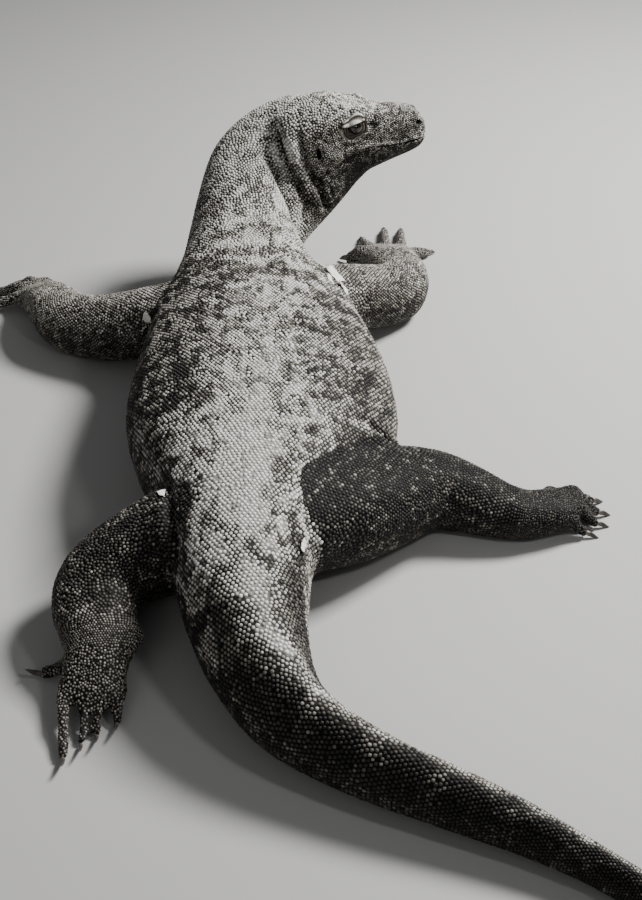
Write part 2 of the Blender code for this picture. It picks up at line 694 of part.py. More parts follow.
def main():
    clear_scene()
    toes = {limb: [toe_rows(*toe) for toe in rows] for limb, rows in TOES.items()}
    limbs = {"arm_left": ARM_LEFT, "arm_right": ARM_RIGHT, "leg_left": LEG_LEFT, "leg_right": LEG_RIGHT}
    lofts = [tube(BODY, sides=36), tube(THROAT, sides=24)]
    lofts += head_lofts()
    lofts += [tube(rows, sides=24) for rows in limbs.values()]
    lofts += [tube(rows, sides=24, step=0.008) for rows in PALMS.values()]
    lofts += [tube(rows, sides=16, step=0.005) for limb in toes.values() for rows in limb]
    lofts += [lump(*each) for each in BODY_LUMPS]
    whole = fused(lofts)
    for centre, radius, times in KNEADED:
        knead(whole, centre, radius, times)
    knead(whole, (0, 0, 0), 9.0, 2)

    forms = {"body": smooth_rows(BODY, 0.02)}
    forms |= {name: smooth_rows(rows, 0.02) for name, rows in limbs.items()}
    for name, rows in PALMS.items():
        digits = [row for toe in toes[name] for row in toe[1:]]
        forms[name] = np.array([*rows[1:], *digits])
    skull = np.array([(-back, 0, mid, wide, rise, drop) for back, mid, wide, rise, drop in SKULL])
    skull[:, :3] = [head_frame() @ Vector(row[:3]) for row in skull]
    forms["head"] = skull
    whole = thinned(whole, forms)

    whole.verts.layers.int.new("rim")
    for limb in toes.values():
        for rows in limb:
            blunted(whole, *toe_end(rows))
    level_on_floor(whole)
    for centre, normal in CUTS.values():
        part_at(whole, centre, normal)
    for name, bm in named_islands(whole).items():
        mesh_object(name, bm)
    whole.free()

    for side, word in ((1, "left"), (-1, "right")):
        mesh_object("eye_" + word, eye_ball(EYE_RADIUS, side))
        cutter = mesh_object("socket_" + word, eye_ball(EYE_RADIUS + GAP, side))
        cutter.hide_render = True
        cutter.display_type = "WIRE"
        socket = bpy.data.objects["head"].modifiers.new("socket_" + word, "BOOLEAN")
        socket.operation = "DIFFERENCE"
        socket.solver = "EXACT"
        socket.object = cutter
    for limb, rows_of in toes.items():
        for number, rows in enumerate(rows_of, 1):
            claw = claw_solid(rows, CLAW_LENGTH[limb[:4]], CLAW_DROP[limb])
            mesh_object(f"claw_{limb}_{number}", claw)

    for obj in bpy.data.objects:
        if obj.name.startswith("claw"):
            finished(obj, CLAW_COLOUR, CLAW_ROUGHNESS)
        elif obj.name.startswith("eye"):
            finished(obj, EYE_COLOUR, EYE_ROUGHNESS)
        else:
            finished(obj, HIDE_COLOUR, HIDE_ROUGHNESS)
    settle()


main()
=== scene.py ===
# %% [markdown]
# # A resting Komodo dragon, dressed over its solids
# The solids give the animal's true outline, parted where a person would name its parts. A living
# lizard shows none of those cuts: one hide runs from the lips to the tip of the tail, and over it lie
# tens of thousands of bead-like scales. So this script grows one skin over the solids, folds and
# wrinkles it, and then sets every scale on it as a small solid bead.

# %% Load the solids
import math
import bmesh
import bpy
import numpy as np
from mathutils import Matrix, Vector
from mathutils.bvhtree import BVHTree
from mathutils.kdtree import KDTree


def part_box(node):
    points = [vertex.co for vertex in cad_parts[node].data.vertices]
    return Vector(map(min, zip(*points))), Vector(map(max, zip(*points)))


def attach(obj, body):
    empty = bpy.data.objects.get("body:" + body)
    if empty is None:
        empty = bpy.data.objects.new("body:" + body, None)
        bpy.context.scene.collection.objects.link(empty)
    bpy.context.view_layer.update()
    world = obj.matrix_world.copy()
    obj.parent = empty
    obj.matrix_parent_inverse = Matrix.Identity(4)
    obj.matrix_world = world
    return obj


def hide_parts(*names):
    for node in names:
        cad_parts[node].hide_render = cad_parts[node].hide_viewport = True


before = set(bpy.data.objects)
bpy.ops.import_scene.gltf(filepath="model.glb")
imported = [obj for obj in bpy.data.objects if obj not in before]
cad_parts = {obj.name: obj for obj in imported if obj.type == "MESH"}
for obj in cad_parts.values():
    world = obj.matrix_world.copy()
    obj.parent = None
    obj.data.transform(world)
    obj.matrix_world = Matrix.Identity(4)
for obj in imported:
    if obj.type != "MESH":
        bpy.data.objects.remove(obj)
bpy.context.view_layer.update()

# %% [markdown]
# Everything below is placed from the solids. The two eyes fix the head: the line between them is its
# side-to-side axis, and the lips lie a known step in front and below. The point on the floor under the
# hips is the second anchor, from which the middle lines of body and limbs are measured.

# %% Anchors from the eyes
HEAD_PITCH = math.radians(4.0)  # nose up
EYE_BACK, EYE_UP = 0.133, 0.046  # from the front of the lips
LIPS_FROM_HIPS = Vector((0.298, 0.978, 0.299))


def middle(node):
    low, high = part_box(node)
    return (low + high) / 2


eye_middle = (middle("eye_left") + middle("eye_right")) / 2
to_left = (middle("eye_left") - middle("eye_right")).normalized()
nose = Vector((to_left.y, -to_left.x, 0)).normalized() * math.cos(HEAD_PITCH)
nose.z = math.sin(HEAD_PITCH)
crown = nose.cross(to_left)
lips = eye_middle + nose * EYE_BACK - crown * EYE_UP
hips = lips - LIPS_FROM_HIPS
head_axes = np.array([-nose, -to_left, crown])
print("lips", [round(v, 3) for v in lips], "hips", [round(v, 3) for v in hips])


def in_head(points):
    """Distances back from the lips, to the animal's right, and up."""
    return (points - np.array(lips)) @ head_axes.T


def from_head(places):
    """World points of places given in the head's own axes."""
    return np.array(lips) + np.asarray(places) @ head_axes

# %% [markdown]
# A middle line runs through each long form. Its rows give a point from the hips' anchor and how far
# the flesh reaches from it. Scales are later laid in rings round these lines, as they grow on the
# animal.

# %% Middle lines
WAY_STEP = 0.004
WAYS = {
    "body": (
        (1.060, -0.600, 0.006, 0.006), (0.980, -0.634, 0.009, 0.009), (0.880, -0.650, 0.0115, 0.012),
        (0.770, -0.638, 0.014, 0.015), (0.660, -0.598, 0.017, 0.018), (0.560, -0.540, 0.020, 0.021),
        (0.480, -0.486, 0.023, 0.023), (0.400, -0.428, 0.027, 0.028), (0.316, -0.380, 0.035, 0.037),
        (0.249, -0.350, 0.040, 0.043), (0.183, -0.320, 0.044, 0.048), (0.112, -0.280, 0.051, 0.055),
        (0.062, -0.238, 0.060, 0.065), (0.030, -0.180, 0.074, 0.079), (0.008, -0.092, 0.088, 0.096),
        (0.000, 0.005, 0.093, 0.112), (0.003, 0.090, 0.100, 0.132), (0.008, 0.170, 0.100, 0.178),
        (0.013, 0.270, 0.100, 0.211), (0.010, 0.380, 0.100, 0.214), (0.002, 0.480, 0.100, 0.203),
        (-0.010, 0.580, 0.103, 0.183), (-0.022, 0.670, 0.108, 0.153), (-0.032, 0.750, 0.123, 0.125),
        (-0.040, 0.830, 0.145, 0.112), (-0.038, 0.895, 0.184, 0.104), (-0.020, 0.940, 0.222, 0.104),
        (0.020, 0.958, 0.250, 0.110), (0.060, 0.955, 0.270, 0.105), (0.110, 0.962, 0.305, 0.090),
        (0.170, 0.967, 0.318, 0.070), (0.235, 0.973, 0.318, 0.048), (0.296, 0.979, 0.314, 0.030),
    ),
    "arm_left": (
        (-0.120, 0.620, 0.105, 0.068), (-0.225, 0.652, 0.078, 0.068), (-0.295, 0.668, 0.062, 0.064),
        (-0.350, 0.698, 0.056, 0.060), (-0.382, 0.742, 0.052, 0.056), (-0.402, 0.785, 0.045, 0.050),
        (-0.418, 0.822, 0.036, 0.048),
    ),
    "arm_right": (
        (0.085, 0.660, 0.108, 0.066), (0.175, 0.735, 0.088, 0.064), (0.225, 0.776, 0.068, 0.064),
        (0.254, 0.816, 0.060, 0.064), (0.260, 0.866, 0.054, 0.058), (0.252, 0.915, 0.047, 0.052),
        (0.243, 0.965, 0.038, 0.052),
    ),
    "leg_left": (
        (-0.060, 0.042, 0.107, 0.085), (-0.140, 0.028, 0.088, 0.085), (-0.180, 0.006, 0.072, 0.076),
        (-0.199, -0.030, 0.060, 0.064), (-0.194, -0.066, 0.053, 0.060), (-0.185, -0.098, 0.047, 0.053),
        (-0.181, -0.130, 0.040, 0.045),
    ),
    "leg_right": (
        (0.070, 0.084, 0.106, 0.095), (0.160, 0.138, 0.091, 0.094), (0.218, 0.170, 0.078, 0.081),
        (0.272, 0.192, 0.067, 0.070), (0.322, 0.184, 0.056, 0.060), (0.370, 0.168, 0.046, 0.050),
        (0.412, 0.166, 0.039, 0.044),
    ),
}


def resampled(rows, step):
    """Rows an even step apart along the given ones, and their distances along the line."""
    rows = np.array(rows, float)
    rows[:, :3] += np.array(hips)
    for _ in range(3):  # round the corners off
        middle_rows = (rows[:-1] + rows[1:]) / 2
        finer = np.empty((2 * len(rows) - 1, 4))
        finer[::2] = rows
        finer[1::2] = middle_rows
        finer[1:-1] = (finer[:-2] + 2 * finer[1:-1] + finer[2:]) / 4
        rows = finer
    at = np.concatenate([[0.0], np.cumsum(np.linalg.norm(np.diff(rows[:, :3], axis=0), axis=1))])
    steps = np.linspace(0, at[-1], max(2, int(at[-1] / step)))
    return np.column_stack([np.interp(steps, at, rows[:, k]) for k in range(4)]), steps


ways = {name: resampled(rows, WAY_STEP) for name, rows in WAYS.items()}
print("lengths:", {name: round(float(at[-1]), 3) for name, (_, at) in ways.items()})

# %% [markdown]
# ## One skin
# The solids were parted with cuts a third of a millimetre wide. Taking off the flat ends and welding
# the rims across each cut gives the whole body back. A subdivision rounds its facets, and a voxel
# remesh turns it into an even cloth of small quads that can be folded anywhere.

# %% Weld the solids into one body
CUT = 0.00045  # a little over the width of a cut
flesh = [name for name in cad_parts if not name.startswith(("eye", "claw"))]


def tree_of(places):
    """A search tree over these places, which knows them by their numbers."""
    tree = KDTree(len(places))
    for number, place in enumerate(places):
        tree.insert(place, number)
    tree.balance()
    return tree


def welded_body():
    """One bmesh of all the flesh, without the flat ends inside it."""
    shells = {}
    for name in flesh:
        shell = bmesh.new()
        shell.from_mesh(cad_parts[name].data)
        bmesh.ops.remove_doubles(shell, verts=shell.verts, dist=1e-6)
        shells[name] = shell
    every = [(v.co.copy(), name) for name, shell in shells.items() for v in shell.verts]
    tree = tree_of([place for place, _ in every])
    whole = bmesh.new()
    for name, shell in shells.items():
        partners = {
            v: {every[k][1] for _, k, _ in tree.find_range(v.co, CUT)} - {name} for v in shell.verts
        }
        ends = [f for f in shell.faces if set.intersection(*(partners[v] for v in f.verts))]
        bmesh.ops.delete(shell, geom=ends, context="FACES")
        mesh = bpy.data.meshes.new("shell")
        shell.to_mesh(mesh)
        shell.free()
        whole.from_mesh(mesh)
        bpy.data.meshes.remove(mesh)
    bmesh.ops.remove_doubles(whole, verts=whole.verts, dist=CUT)
    bmesh.ops.holes_fill(whole, edges=[e for e in whole.edges if e.is_boundary], sides=6)
    return whole


body = welded_body()
print("welded:", len(body.faces), "faces,", sum(not e.is_manifold for e in body.edges), "loose edges")

# %% [markdown]
# The hide of a lizard has no seam, so it is grown in one piece. The two round holes of the eyes are
# plugged first, because the lids are later drawn over the balls and cut open from a closed skin.

# %% Grow the skin over it
SKIN_CELL = 0.0040  # edge of a quad of skin
EYE_OPENING = 0.0148  # radius of the round hole in which each eye sits


def only(obj):
    """Makes this the one selected and active object."""
    bpy.ops.object.select_all(action="DESELECT")
    obj.select_set(True)
    bpy.context.view_layer.objects.active = obj


def linked(name, mesh):
    obj = bpy.data.objects.new(name, mesh)
    bpy.context.scene.collection.objects.link(obj)
    return obj


def applied(obj, kind, **settings):
    """Adds a modifier with these settings and applies it."""
    only(obj)
    bpy.ops.object.modifier_add(type=kind)
    modifier = obj.modifiers[-1]
    for name, value in settings.items():
        setattr(modifier, name, value)
    bpy.ops.object.modifier_apply(modifier=modifier.name)


skin = linked("skin", bpy.data.meshes.new("skin"))
body.to_mesh(skin.data)
body.free()
applied(skin, "SUBSURF", levels=1, render_levels=1)
balls = []
for place in (middle("eye_left"), middle("eye_right")):
    bpy.ops.mesh.primitive_uv_sphere_add(radius=EYE_OPENING, segments=32, ring_count=20, location=place)
    balls.append(bpy.context.object)
only(skin)
for ball in balls:
    ball.select_set(True)
bpy.ops.object.join()
applied(skin, "REMESH", mode="VOXEL", voxel_size=SKIN_CELL)
print("skin:", len(skin.data.polygons), "quads")

# %% [markdown]
# Every step from here on moves points by a rule, so a mesh is read into one array of places, worked on
# all at once and written back. That is many times faster than going from point to point.

# %% Read and write the points of a mesh
def triples(items, key):
    flat = np.empty(len(items) * 3, np.float32)
    items.foreach_get(key, flat)
    return flat.reshape(-1, 3).astype(float)


def coords(mesh):
    return triples(mesh.vertices, "co")


def normals(mesh):
    return triples(mesh.vertex_normals, "vector")


def set_coords(mesh, points):
    mesh.vertices.foreach_set("co", points.astype(np.float32).ravel())
    mesh.update()


points = coords(skin.data)
print("highest point", round(float(points[:, 2].max()), 3), "m")

# %% [markdown]
# Most rules ask where on the animal a point lies: on which form, how far along it, and how far round.
# The nearest middle line answers that, where near is measured against the form's own thickness.

# %% Find the nearest middle line
def nearest_way(points):
    """For each point: number of the way, distance along it, turn round it, and its reach there."""
    best = np.full(len(points), np.inf)
    numbers = np.zeros(len(points), int)
    along, turn, reach = (np.zeros(len(points)) for _ in range(3))
    for number, (rows, at) in enumerate(ways.values()):
        tree = tree_of(rows[:, :3])
        found = np.array([tree.find(p)[1:] for p in points])
        k, distance = found[:, 0].astype(int), found[:, 1]
        nearer = distance / rows[k, 3]
        chosen = nearer < best
        best[chosen] = nearer[chosen]
        numbers[chosen] = number
        direction = np.gradient(rows[:, :3], axis=0)
        direction /= np.linalg.norm(direction, axis=1)[:, None]
        side = np.cross(direction, (0, 0, 1))
        side /= np.linalg.norm(side, axis=1)[:, None]
        over = np.cross(side, direction)
        off = points - rows[k, :3]
        angle = np.arctan2((off * over[k]).sum(1), (off * side[k]).sum(1))
        along[chosen], turn[chosen], reach[chosen] = at[k][chosen], angle[chosen], rows[k, 3][chosen]
    return numbers, along, turn, reach


_, _, _, reach = nearest_way(points)
print("forms reach from", round(float(reach.min()), 3), "to", round(float(reach.max()), 3), "m")

# %% [markdown]
# The remesh leaves faint facets. Smoothing evens them out, more on the big rounded forms than on the
# thin ones, which would shrink. The corner where trunk, pelvis and thigh meet is uneven and is
# smoothed for longer.

# %% Smooth the skin
def near_digits(points):
    """How much each point belongs to the toes and their palms, from 0 to 1."""
    share = np.zeros(len(points))
    for name in ("hand_left", "hand_right", "foot_left", "foot_right"):
        low, high = (np.array(corner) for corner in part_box(name))
        outside = np.linalg.norm(np.maximum(0, np.maximum(low - points, points - high)), axis=1)
        share = np.maximum(share, np.clip(1 - outside / 0.02, 0, 1))
    return share


def smooth_step(value, low, high):
    t = np.clip((value - low) / (high - low), 0, 1)
    return t * t * (3 - 2 * t)


def group_of(obj, name, weights):
    """A vertex group with a weight for each vertex, in steps of a twentieth."""
    group = obj.vertex_groups.new(name=name)
    steps = np.round(np.clip(weights, 0, 1) * 20).astype(int)
    for step in range(1, 21):
        group.add(np.nonzero(steps == step)[0].tolist(), step / 20, "REPLACE")
    return group.name


place = in_head(points)
on_head = smooth_step(-place[:, 0], -0.24, -0.20)
plump = smooth_step(reach, 0.008, 0.09) * (1 - near_digits(points)) * (1 - 0.85 * on_head)
applied(skin, "SMOOTH", factor=0.5, iterations=24, vertex_group=group_of(skin, "plump", plump))
applied(skin, "SMOOTH", factor=0.5, iterations=3)
corner = np.array(hips) + (0.076, 0.187, 0.212)  # where trunk, pelvis and thigh meet
apart = np.linalg.norm(coords(skin.data) - corner, axis=1)
join = np.exp(-((apart / 0.022) ** 2))
applied(skin, "SMOOTH", factor=0.6, iterations=80, vertex_group=group_of(skin, "join", join))
print("smoothed:", len(points), "points")

# %% [markdown]
# ## The head
# A monitor lizard's face is drawn by a few forms: the line of the lips, a slit ear, a round nostril
# near the tip, and an eye under two fleshy lids with fine creases below it. They need a closer mesh
# than the trunk, so the quads of the head are halved, and those round the eyes halved again.

# %% Finer mesh on the head
def refine(obj, chosen):
    """Splits in four the quads whose corners all satisfy the test."""
    bm = bmesh.new()
    bm.from_mesh(obj.data)
    bm.verts.ensure_lookup_table()
    edges = [e for e in bm.edges if chosen[e.verts[0].index] and chosen[e.verts[1].index]]
    bmesh.ops.subdivide_edges(bm, edges=edges, cuts=1, use_grid_fill=True)
    bm.to_mesh(obj.data)
    bm.free()


def about_head(place):
    """Whether places lie as near the head's middle plane as the head reaches."""
    return (np.abs(place[:, 1]) < 0.13) & (place[:, 2] > -0.12)


def round_eyes(place, radius):
    off = np.stack([place[:, 0] - EYE_BACK, place[:, 2] - EYE_UP], axis=1)
    return (np.linalg.norm(off, axis=1) < radius) & (np.abs(place[:, 1]) > 0.012)


place = in_head(coords(skin.data))
refine(skin, (place[:, 0] < 0.225) & about_head(place))
place = in_head(coords(skin.data))
refine(skin, round_eyes(place, 0.034))
applied(skin, "SMOOTH", factor=0.4, iterations=2)
print("refined:", len(skin.data.vertices), "points")

# %% [markdown]
# Seen from its side the head is almost a plane, so its features are drawn there, as lines and ovals in
# distances back from the lips and up. Both sides get the same ones.

# %% Drawing on the side of the head
def bell(value):
    return np.exp(-(value**2))


def to_line(flat, line):
    """Distance from each point to a bent line, with a sign, and the share of the line's length."""
    line = np.array(line, float)
    span = np.linalg.norm(np.diff(line, axis=0), axis=1)
    start = np.concatenate([[0.0], np.cumsum(span)])
    best = np.full(len(flat), np.inf)
    sign, share = np.ones(len(flat)), np.zeros(len(flat))
    for k, (a, b) in enumerate(zip(line, line[1:])):
        t = np.clip((flat - a) @ (b - a) / span[k] ** 2, 0, 1)
        off = flat - (a + t[:, None] * (b - a))
        distance = np.linalg.norm(off, axis=1)
        nearer = distance < best
        best[nearer] = distance[nearer]
        cross = (b - a)[0] * off[:, 1] - (b - a)[1] * off[:, 0]
        sign[nearer] = np.where(cross > 0, 1, -1)[nearer]
        share[nearer] = ((start[k] + t * span[k]) / start[-1])[nearer]
    return best, sign, share


MOUTH = (
    (-0.02, 0.002), (0.0, 0.003), (0.020, 0.004), (0.045, 0.002),
    (0.070, 0.001), (0.095, 0.003), (0.121, 0.005),
)
CHEEK = ((0.122, 0.0), (0.150, -0.010), (0.170, -0.017), (0.205, -0.031))
NOSTRIL, NOSTRIL_SIZE = (0.0140, 0.0345), (0.0062, 0.0046)
EAR, EAR_SIZE = (0.205, 0.010), (0.0050, 0.0120)
SNOUT_RIDGE = ((0.100, 0.056), (0.070, 0.050), (0.035, 0.046))


def oval(flat, centre, size):
    """1 on the rim of an oval, less inside."""
    return np.linalg.norm((flat - centre) / size, axis=1)


def face_relief(place):
    """Height of the face's forms above the plain skin, outwards."""
    flat = place[:, [0, 2]]
    sideways = smooth_step(np.abs(place[:, 1]), 0.006, 0.014)
    gap, sign, share = to_line(flat, MOUTH)
    fade = 1 - smooth_step(share, 0.93, 1.0)
    height = -0.0022 * bell(gap / 0.0014) * fade
    height += 0.0015 * bell((gap * sign - 0.0052) / 0.0030) * fade  # upper lip
    height += 0.0010 * bell((gap * sign + 0.0050) / 0.0030) * fade  # lower lip
    gap, sign, share = to_line(flat, CHEEK)
    height -= 0.0042 * bell(gap / 0.0050) * (1 - smooth_step(share, 0.8, 1.0))
    height += 0.0025 * bell((gap * sign - 0.012) / 0.009) * (1 - smooth_step(share, 0.8, 1.0))
    ring = oval(flat, NOSTRIL, NOSTRIL_SIZE)
    height += sideways * (0.0014 * bell((ring - 1.5) / 0.45) - 0.0062 * bell(ring / 0.85))
    ring = oval(flat, EAR, EAR_SIZE)
    height += sideways * (0.0016 * bell((ring - 1.6) / 0.5) - 0.0075 * bell(ring / 0.9))
    brow = smooth_step(place[:, 0], 0.108, 0.116) * (1 - smooth_step(place[:, 0], 0.150, 0.185))
    over_eye = bell((np.abs(place[:, 1]) - 0.032) / 0.013)
    height += 0.0038 * brow * over_eye * smooth_step(place[:, 2], 0.060, 0.072)
    tip = (1 - smooth_step(place[:, 0], -0.004, 0.034)) * smooth_step(place[:, 2], 0.026, 0.044)
    height -= 0.0058 * tip
    gap, _, share = to_line(flat, SNOUT_RIDGE)
    height += 0.0014 * bell(gap / 0.006) * smooth_step(share, 0, 0.2) * (1 - smooth_step(share, 0.7, 1))
    return height

# %% [markdown]
# ### Eyes in their lids
# The opening of the eye has an upper and a lower edge, and above it run two smooth fleshy bands with a
# crease between them. Each of these edges is one parabola or oval, with x running forwards and y up
# from the eye's middle.

# %% Edges of the lids
BALL = 0.0155  # radius of an eyeball
LID = 0.0016  # thickness of a lid
LID_BLEND = 0.0025  # width over which a lid runs into the face
CORNER = -0.0125  # where the lid's edge ends behind the eye
BAND_LOW, BAND_HIGH = 0.0108, 0.0185  # tops of the lower and upper fleshy band, above the lid's edge
BEHIND_BALL = 0.0030  # how far the skin drops behind the ball's front inside the opening
eye_out = abs(in_head(np.array([middle("eye_right")]))[0, 1])


def upper_edge(x):
    return 0.0086 + 0.28 * x - 12 * x**2


def lower_edge(x):
    return -0.0112 + 0.02 * x + 66 * x**2


def lid_foot(x):
    """Lower side of the fleshy bands: the lid's edge, drawn out straight behind the eye."""
    behind = np.maximum(0, CORNER - x)
    return upper_edge(np.maximum(x, CORNER)) + 0.15 * behind


def band_taper(x):
    """Full height of the bands over the eye, down to nothing at both their ends."""
    behind = 1 - np.clip(-x / 0.030, 0, 1) ** 2
    ahead = np.sqrt(1 - np.clip(x / 0.0195, 0, 1) ** 2)
    return np.where(x < 0, behind, ahead)


def lid_crease(x):
    return lid_foot(x) + BAND_LOW * band_taper(x)


def brow_edge(x):
    return lid_foot(x) + BAND_HIGH * band_taper(x)


def opening(x, y):
    """How far inside the eye's opening a place is."""
    return np.minimum(np.minimum(upper_edge(x) - y, y - lower_edge(x)), EYE_OPENING - np.hypot(x, y))


x = np.linspace(-0.02, 0.02, 81)
print("eye open", round(float((upper_edge(x) - lower_edge(x)).max()) * 1000, 1), "mm at most")

# %% [markdown]
# Below the opening the lower lid lies in fine arcs, down to a deep crease. A sine wave in the distance
# from the lid's rim makes the arcs, and bells make the single ridges and grooves.

# %% Relief of the lids
def hump(y, low, high):
    """A rounded band from one edge to another."""
    return np.sin(math.pi * np.clip((y - low) / np.maximum(high - low, 1e-4), 0, 1))


def under_eye(x, y):
    """Where a place lies between the lower lid's rim, 0, and the deep crease round it, 1."""
    inner = np.hypot((x + 0.001) / 0.0130, y / 0.0112)
    outer = np.hypot((x + 0.008) / 0.0370, y / 0.0275)
    return np.clip((inner - 1) / np.maximum(inner - outer, 1e-3), 0, 1.6)


def arc_phase(x, y, share):
    """The arcs under the eye crowd and part along their length."""
    return share * 19 + 1.3 * np.sin(x * 190 + 1) + 0.8 * np.sin(x * 430 + y * 250)


def lid_relief(x, y):
    """Height of the fleshy bands above the eye and the fine arcs under it."""
    full = smooth_step(band_taper(x), 0.0, 0.5)
    height = full * 0.0036 * hump(y, lid_foot(x) - 0.002, lid_crease(x))
    height += full * 0.0036 * hump(y, lid_crease(x), brow_edge(x))
    height -= full * 0.0015 * bell((y - lid_crease(x)) / 0.0011)
    share = under_eye(x, y)
    under = (1 - smooth_step(y, 0.001, 0.009)) * smooth_step(share, 0.02, 0.12)
    height += under * 0.0005 * np.sin(arc_phase(x, y, share)) * (1 - smooth_step(share, 0.70, 0.85))
    height += under * 0.0012 * bell((share - 0.80) / 0.16)
    height -= under * 0.0034 * bell((share - 1.02) / 0.11)
    return height


deepest = -lid_relief(0.0, np.linspace(-0.04, 0, 81)).min()
print("crease under the eye", round(float(deepest) * 1000, 1), "mm deep")

# %% [markdown]
# The lids ride on the ball: within the ball's outline the skin is pulled out to a dome a little larger
# than the ball, and inside the opening it drops behind it.

# %% Draw the skin over the balls
def eye_places(place, side):
    """x forwards and y up from the middle of the eye on this side, and how far out."""
    return EYE_BACK - place[:, 0], place[:, 2] - EYE_UP, place[:, 1] * side


def shaped_eyes(place):
    """The head's points with the skin drawn over the eyeballs and opened."""
    place = place.copy()
    for side in (1, -1):
        x, y, out = eye_places(place, side)
        span = np.hypot(x, y)
        near = (span < 0.046) & (out > 0.012)
        x, y, out, span = x[near], y[near], out[near], span[near]
        reach = BALL + LID
        dome = eye_out + np.sqrt(np.maximum(reach**2 - span**2, 0))
        soft = np.clip(0.5 + 0.5 * (dome - out) / LID_BLEND, 0, 1) * (span < reach)
        out = out + (dome - out) * soft + LID_BLEND * soft * (1 - soft)
        out += lid_relief(x, y) * (1 - smooth_step(span, 0.036, 0.045)) * smooth_step(out, 0.030, 0.042)
        hollow = eye_out + np.sqrt(np.maximum(BALL**2 - span**2, 0)) - BEHIND_BALL
        out = np.where(opening(x, y) > 0, np.minimum(out, hollow), out)
        place[near, 1] = out * side
    return place


points, normal = coords(skin.data), normals(skin.data)
place = in_head(points)
on_face = smooth_step(-place[:, 0], -0.255, -0.225) * (np.abs(place[:, 1]) < 0.14) * (place[:, 2] > -0.14)
points += normal * (face_relief(place) * on_face)[:, None]
place = in_head(points)
face = (place[:, 0] < 0.24) & about_head(place)
points[face] = from_head(shaped_eyes(place[face]))
set_coords(skin.data, points)
print("face shaped,", int(face.sum()), "points")

# %% [markdown]
# ## Loose skin
# The neck is bent towards the head's side, so the skin there gathers into upright folds from behind
# the ear down to the throat. Each fold is a rounded ridge with a groove on its front.

# %% Folds of neck, throat and hips
# A line along the fold from the hips' anchor, ridge height, groove depth and width.
FOLDS = (
    (
        (
            (0.055, 0.893, 0.345), (0.068, 0.886, 0.291), (0.082, 0.890, 0.253), (0.106, 0.874, 0.203),
            (0.114, 0.880, 0.180),
        ),
        0.0075, 0.0110, 0.011,
    ),
    (
        (
            (0.012, 0.924, 0.332), (0.029, 0.911, 0.298), (0.040, 0.907, 0.267), (0.056, 0.878, 0.236),
            (0.071, 0.854, 0.209), (0.066, 0.840, 0.180),
        ),
        0.0055, 0.0080, 0.010,
    ),
    (
        ((-0.004, 0.899, 0.299), (0.015, 0.872, 0.263), (0.037, 0.850, 0.223), (0.052, 0.814, 0.192)),
        0.0028, 0.0032, 0.009,
    ),
    (((0.120, 0.895, 0.262), (0.118, 0.880, 0.235), (0.126, 0.885, 0.205)), 0.0022, 0.0030, 0.007),
    (
        ((-0.112, 0.070, 0.165), (-0.104, 0.036, 0.165), (-0.096, -0.009, 0.151), (-0.087, -0.045, 0.122)),
        0.0040, 0.0060, 0.011,
    ),
    (
        ((0.085, 0.110, 0.198), (0.077, 0.060, 0.190), (0.078, 0.010, 0.170), (0.088, -0.030, 0.125)),
        0.0030, 0.0030, 0.012,
    ),
    (((0.150, 0.205, 0.180), (0.168, 0.215, 0.130), (0.175, 0.220, 0.080)), 0.0040, 0.0050, 0.012),
    (((-0.172, 0.560, 0.170), (-0.190, 0.580, 0.120), (-0.186, 0.590, 0.070)), 0.0030, 0.0040, 0.010),
    (((0.118, 0.610, 0.175), (0.150, 0.625, 0.135), (0.160, 0.630, 0.090)), 0.0030, 0.0040, 0.010),
)
NECK_FOLDS = FOLDS[:4]


def fold_relief(points, normal, line, ridge, groove, width):
    """Height added by one fold: a ridge behind its line and a groove before it."""
    line = np.array(line) + np.array(hips)
    best = np.full(len(points), np.inf)
    signed, share = np.zeros(len(points)), np.zeros(len(points))
    for k, (a, b) in enumerate(zip(line, line[1:])):
        t = np.clip((points - a) @ (b - a) / ((b - a) @ (b - a)), 0, 1)
        off = points - (a + t[:, None] * (b - a))
        distance = np.linalg.norm(off, axis=1)
        across = np.cross(normal, (b - a) / np.linalg.norm(b - a))
        nearer = distance < best
        best[nearer] = distance[nearer]
        signed[nearer] = (off * across).sum(1)[nearer]
        share[nearer] = ((k + t) / (len(line) - 1))[nearer]
    fade = smooth_step(share, 0.0, 0.15) * (1 - smooth_step(share, 0.85, 1.0)) * (best < 4 * width)
    raised = ridge * bell((signed + width) / width)
    sunk = groove * bell((signed - 0.6 * width) / (0.6 * width))
    return fade * (raised - sunk)


points, normal = coords(skin.data), normals(skin.data)
relief = sum(fold_relief(points, normal, *fold) for fold in FOLDS)
points += normal * relief[:, None]
set_coords(skin.data, points)
print("folds up to", round(float(relief.max()) * 1000, 1), "mm")

# %% [markdown]
# ## Room for the scales
# The solids reach to the tips of the scales, so the hide itself lies a scale's height further in. The
# scales' spacing, their pitch, is widest on the trunk and little over half of that on face, toes and
# the tail's tip. Every later step surveys its places and is told the pitch there.

# %% Spacing of the scales
BODY = 0  # place of the body among the middle lines
SCALE_RISE = 0.27  # height of a scale for its pitch
BODY_PITCH, LIMB_PITCH, FACE_PITCH, TOE_PITCH = 0.0064, 0.0055, 0.0037, 0.0036
TAIL_PITCHES = (0.0034, 0.0063)  # finest and coarsest on the tail


def station(x, y, z):
    """Distance along the body's middle line of the row nearest a place given from the hips' anchor."""
    rows, at = ways["body"]
    return at[np.argmin(np.linalg.norm(rows[:, :3] - (np.array(hips) + (x, y, z)), axis=1))]


TAIL_MIDDLE = station(0.316, -0.380, 0.035)
TAIL_ROOT = station(0.008, -0.092, 0.088)
HIPS = station(0.005, 0.120, 0.100)
WAIST = station(0.010, 0.380, 0.100)
SHOULDER = station(-0.022, 0.670, 0.108)


def head_share(place):
    """1 on the head, 0 from the neck on."""
    return smooth_step(-place[:, 0], -0.240, -0.200) * about_head(place)


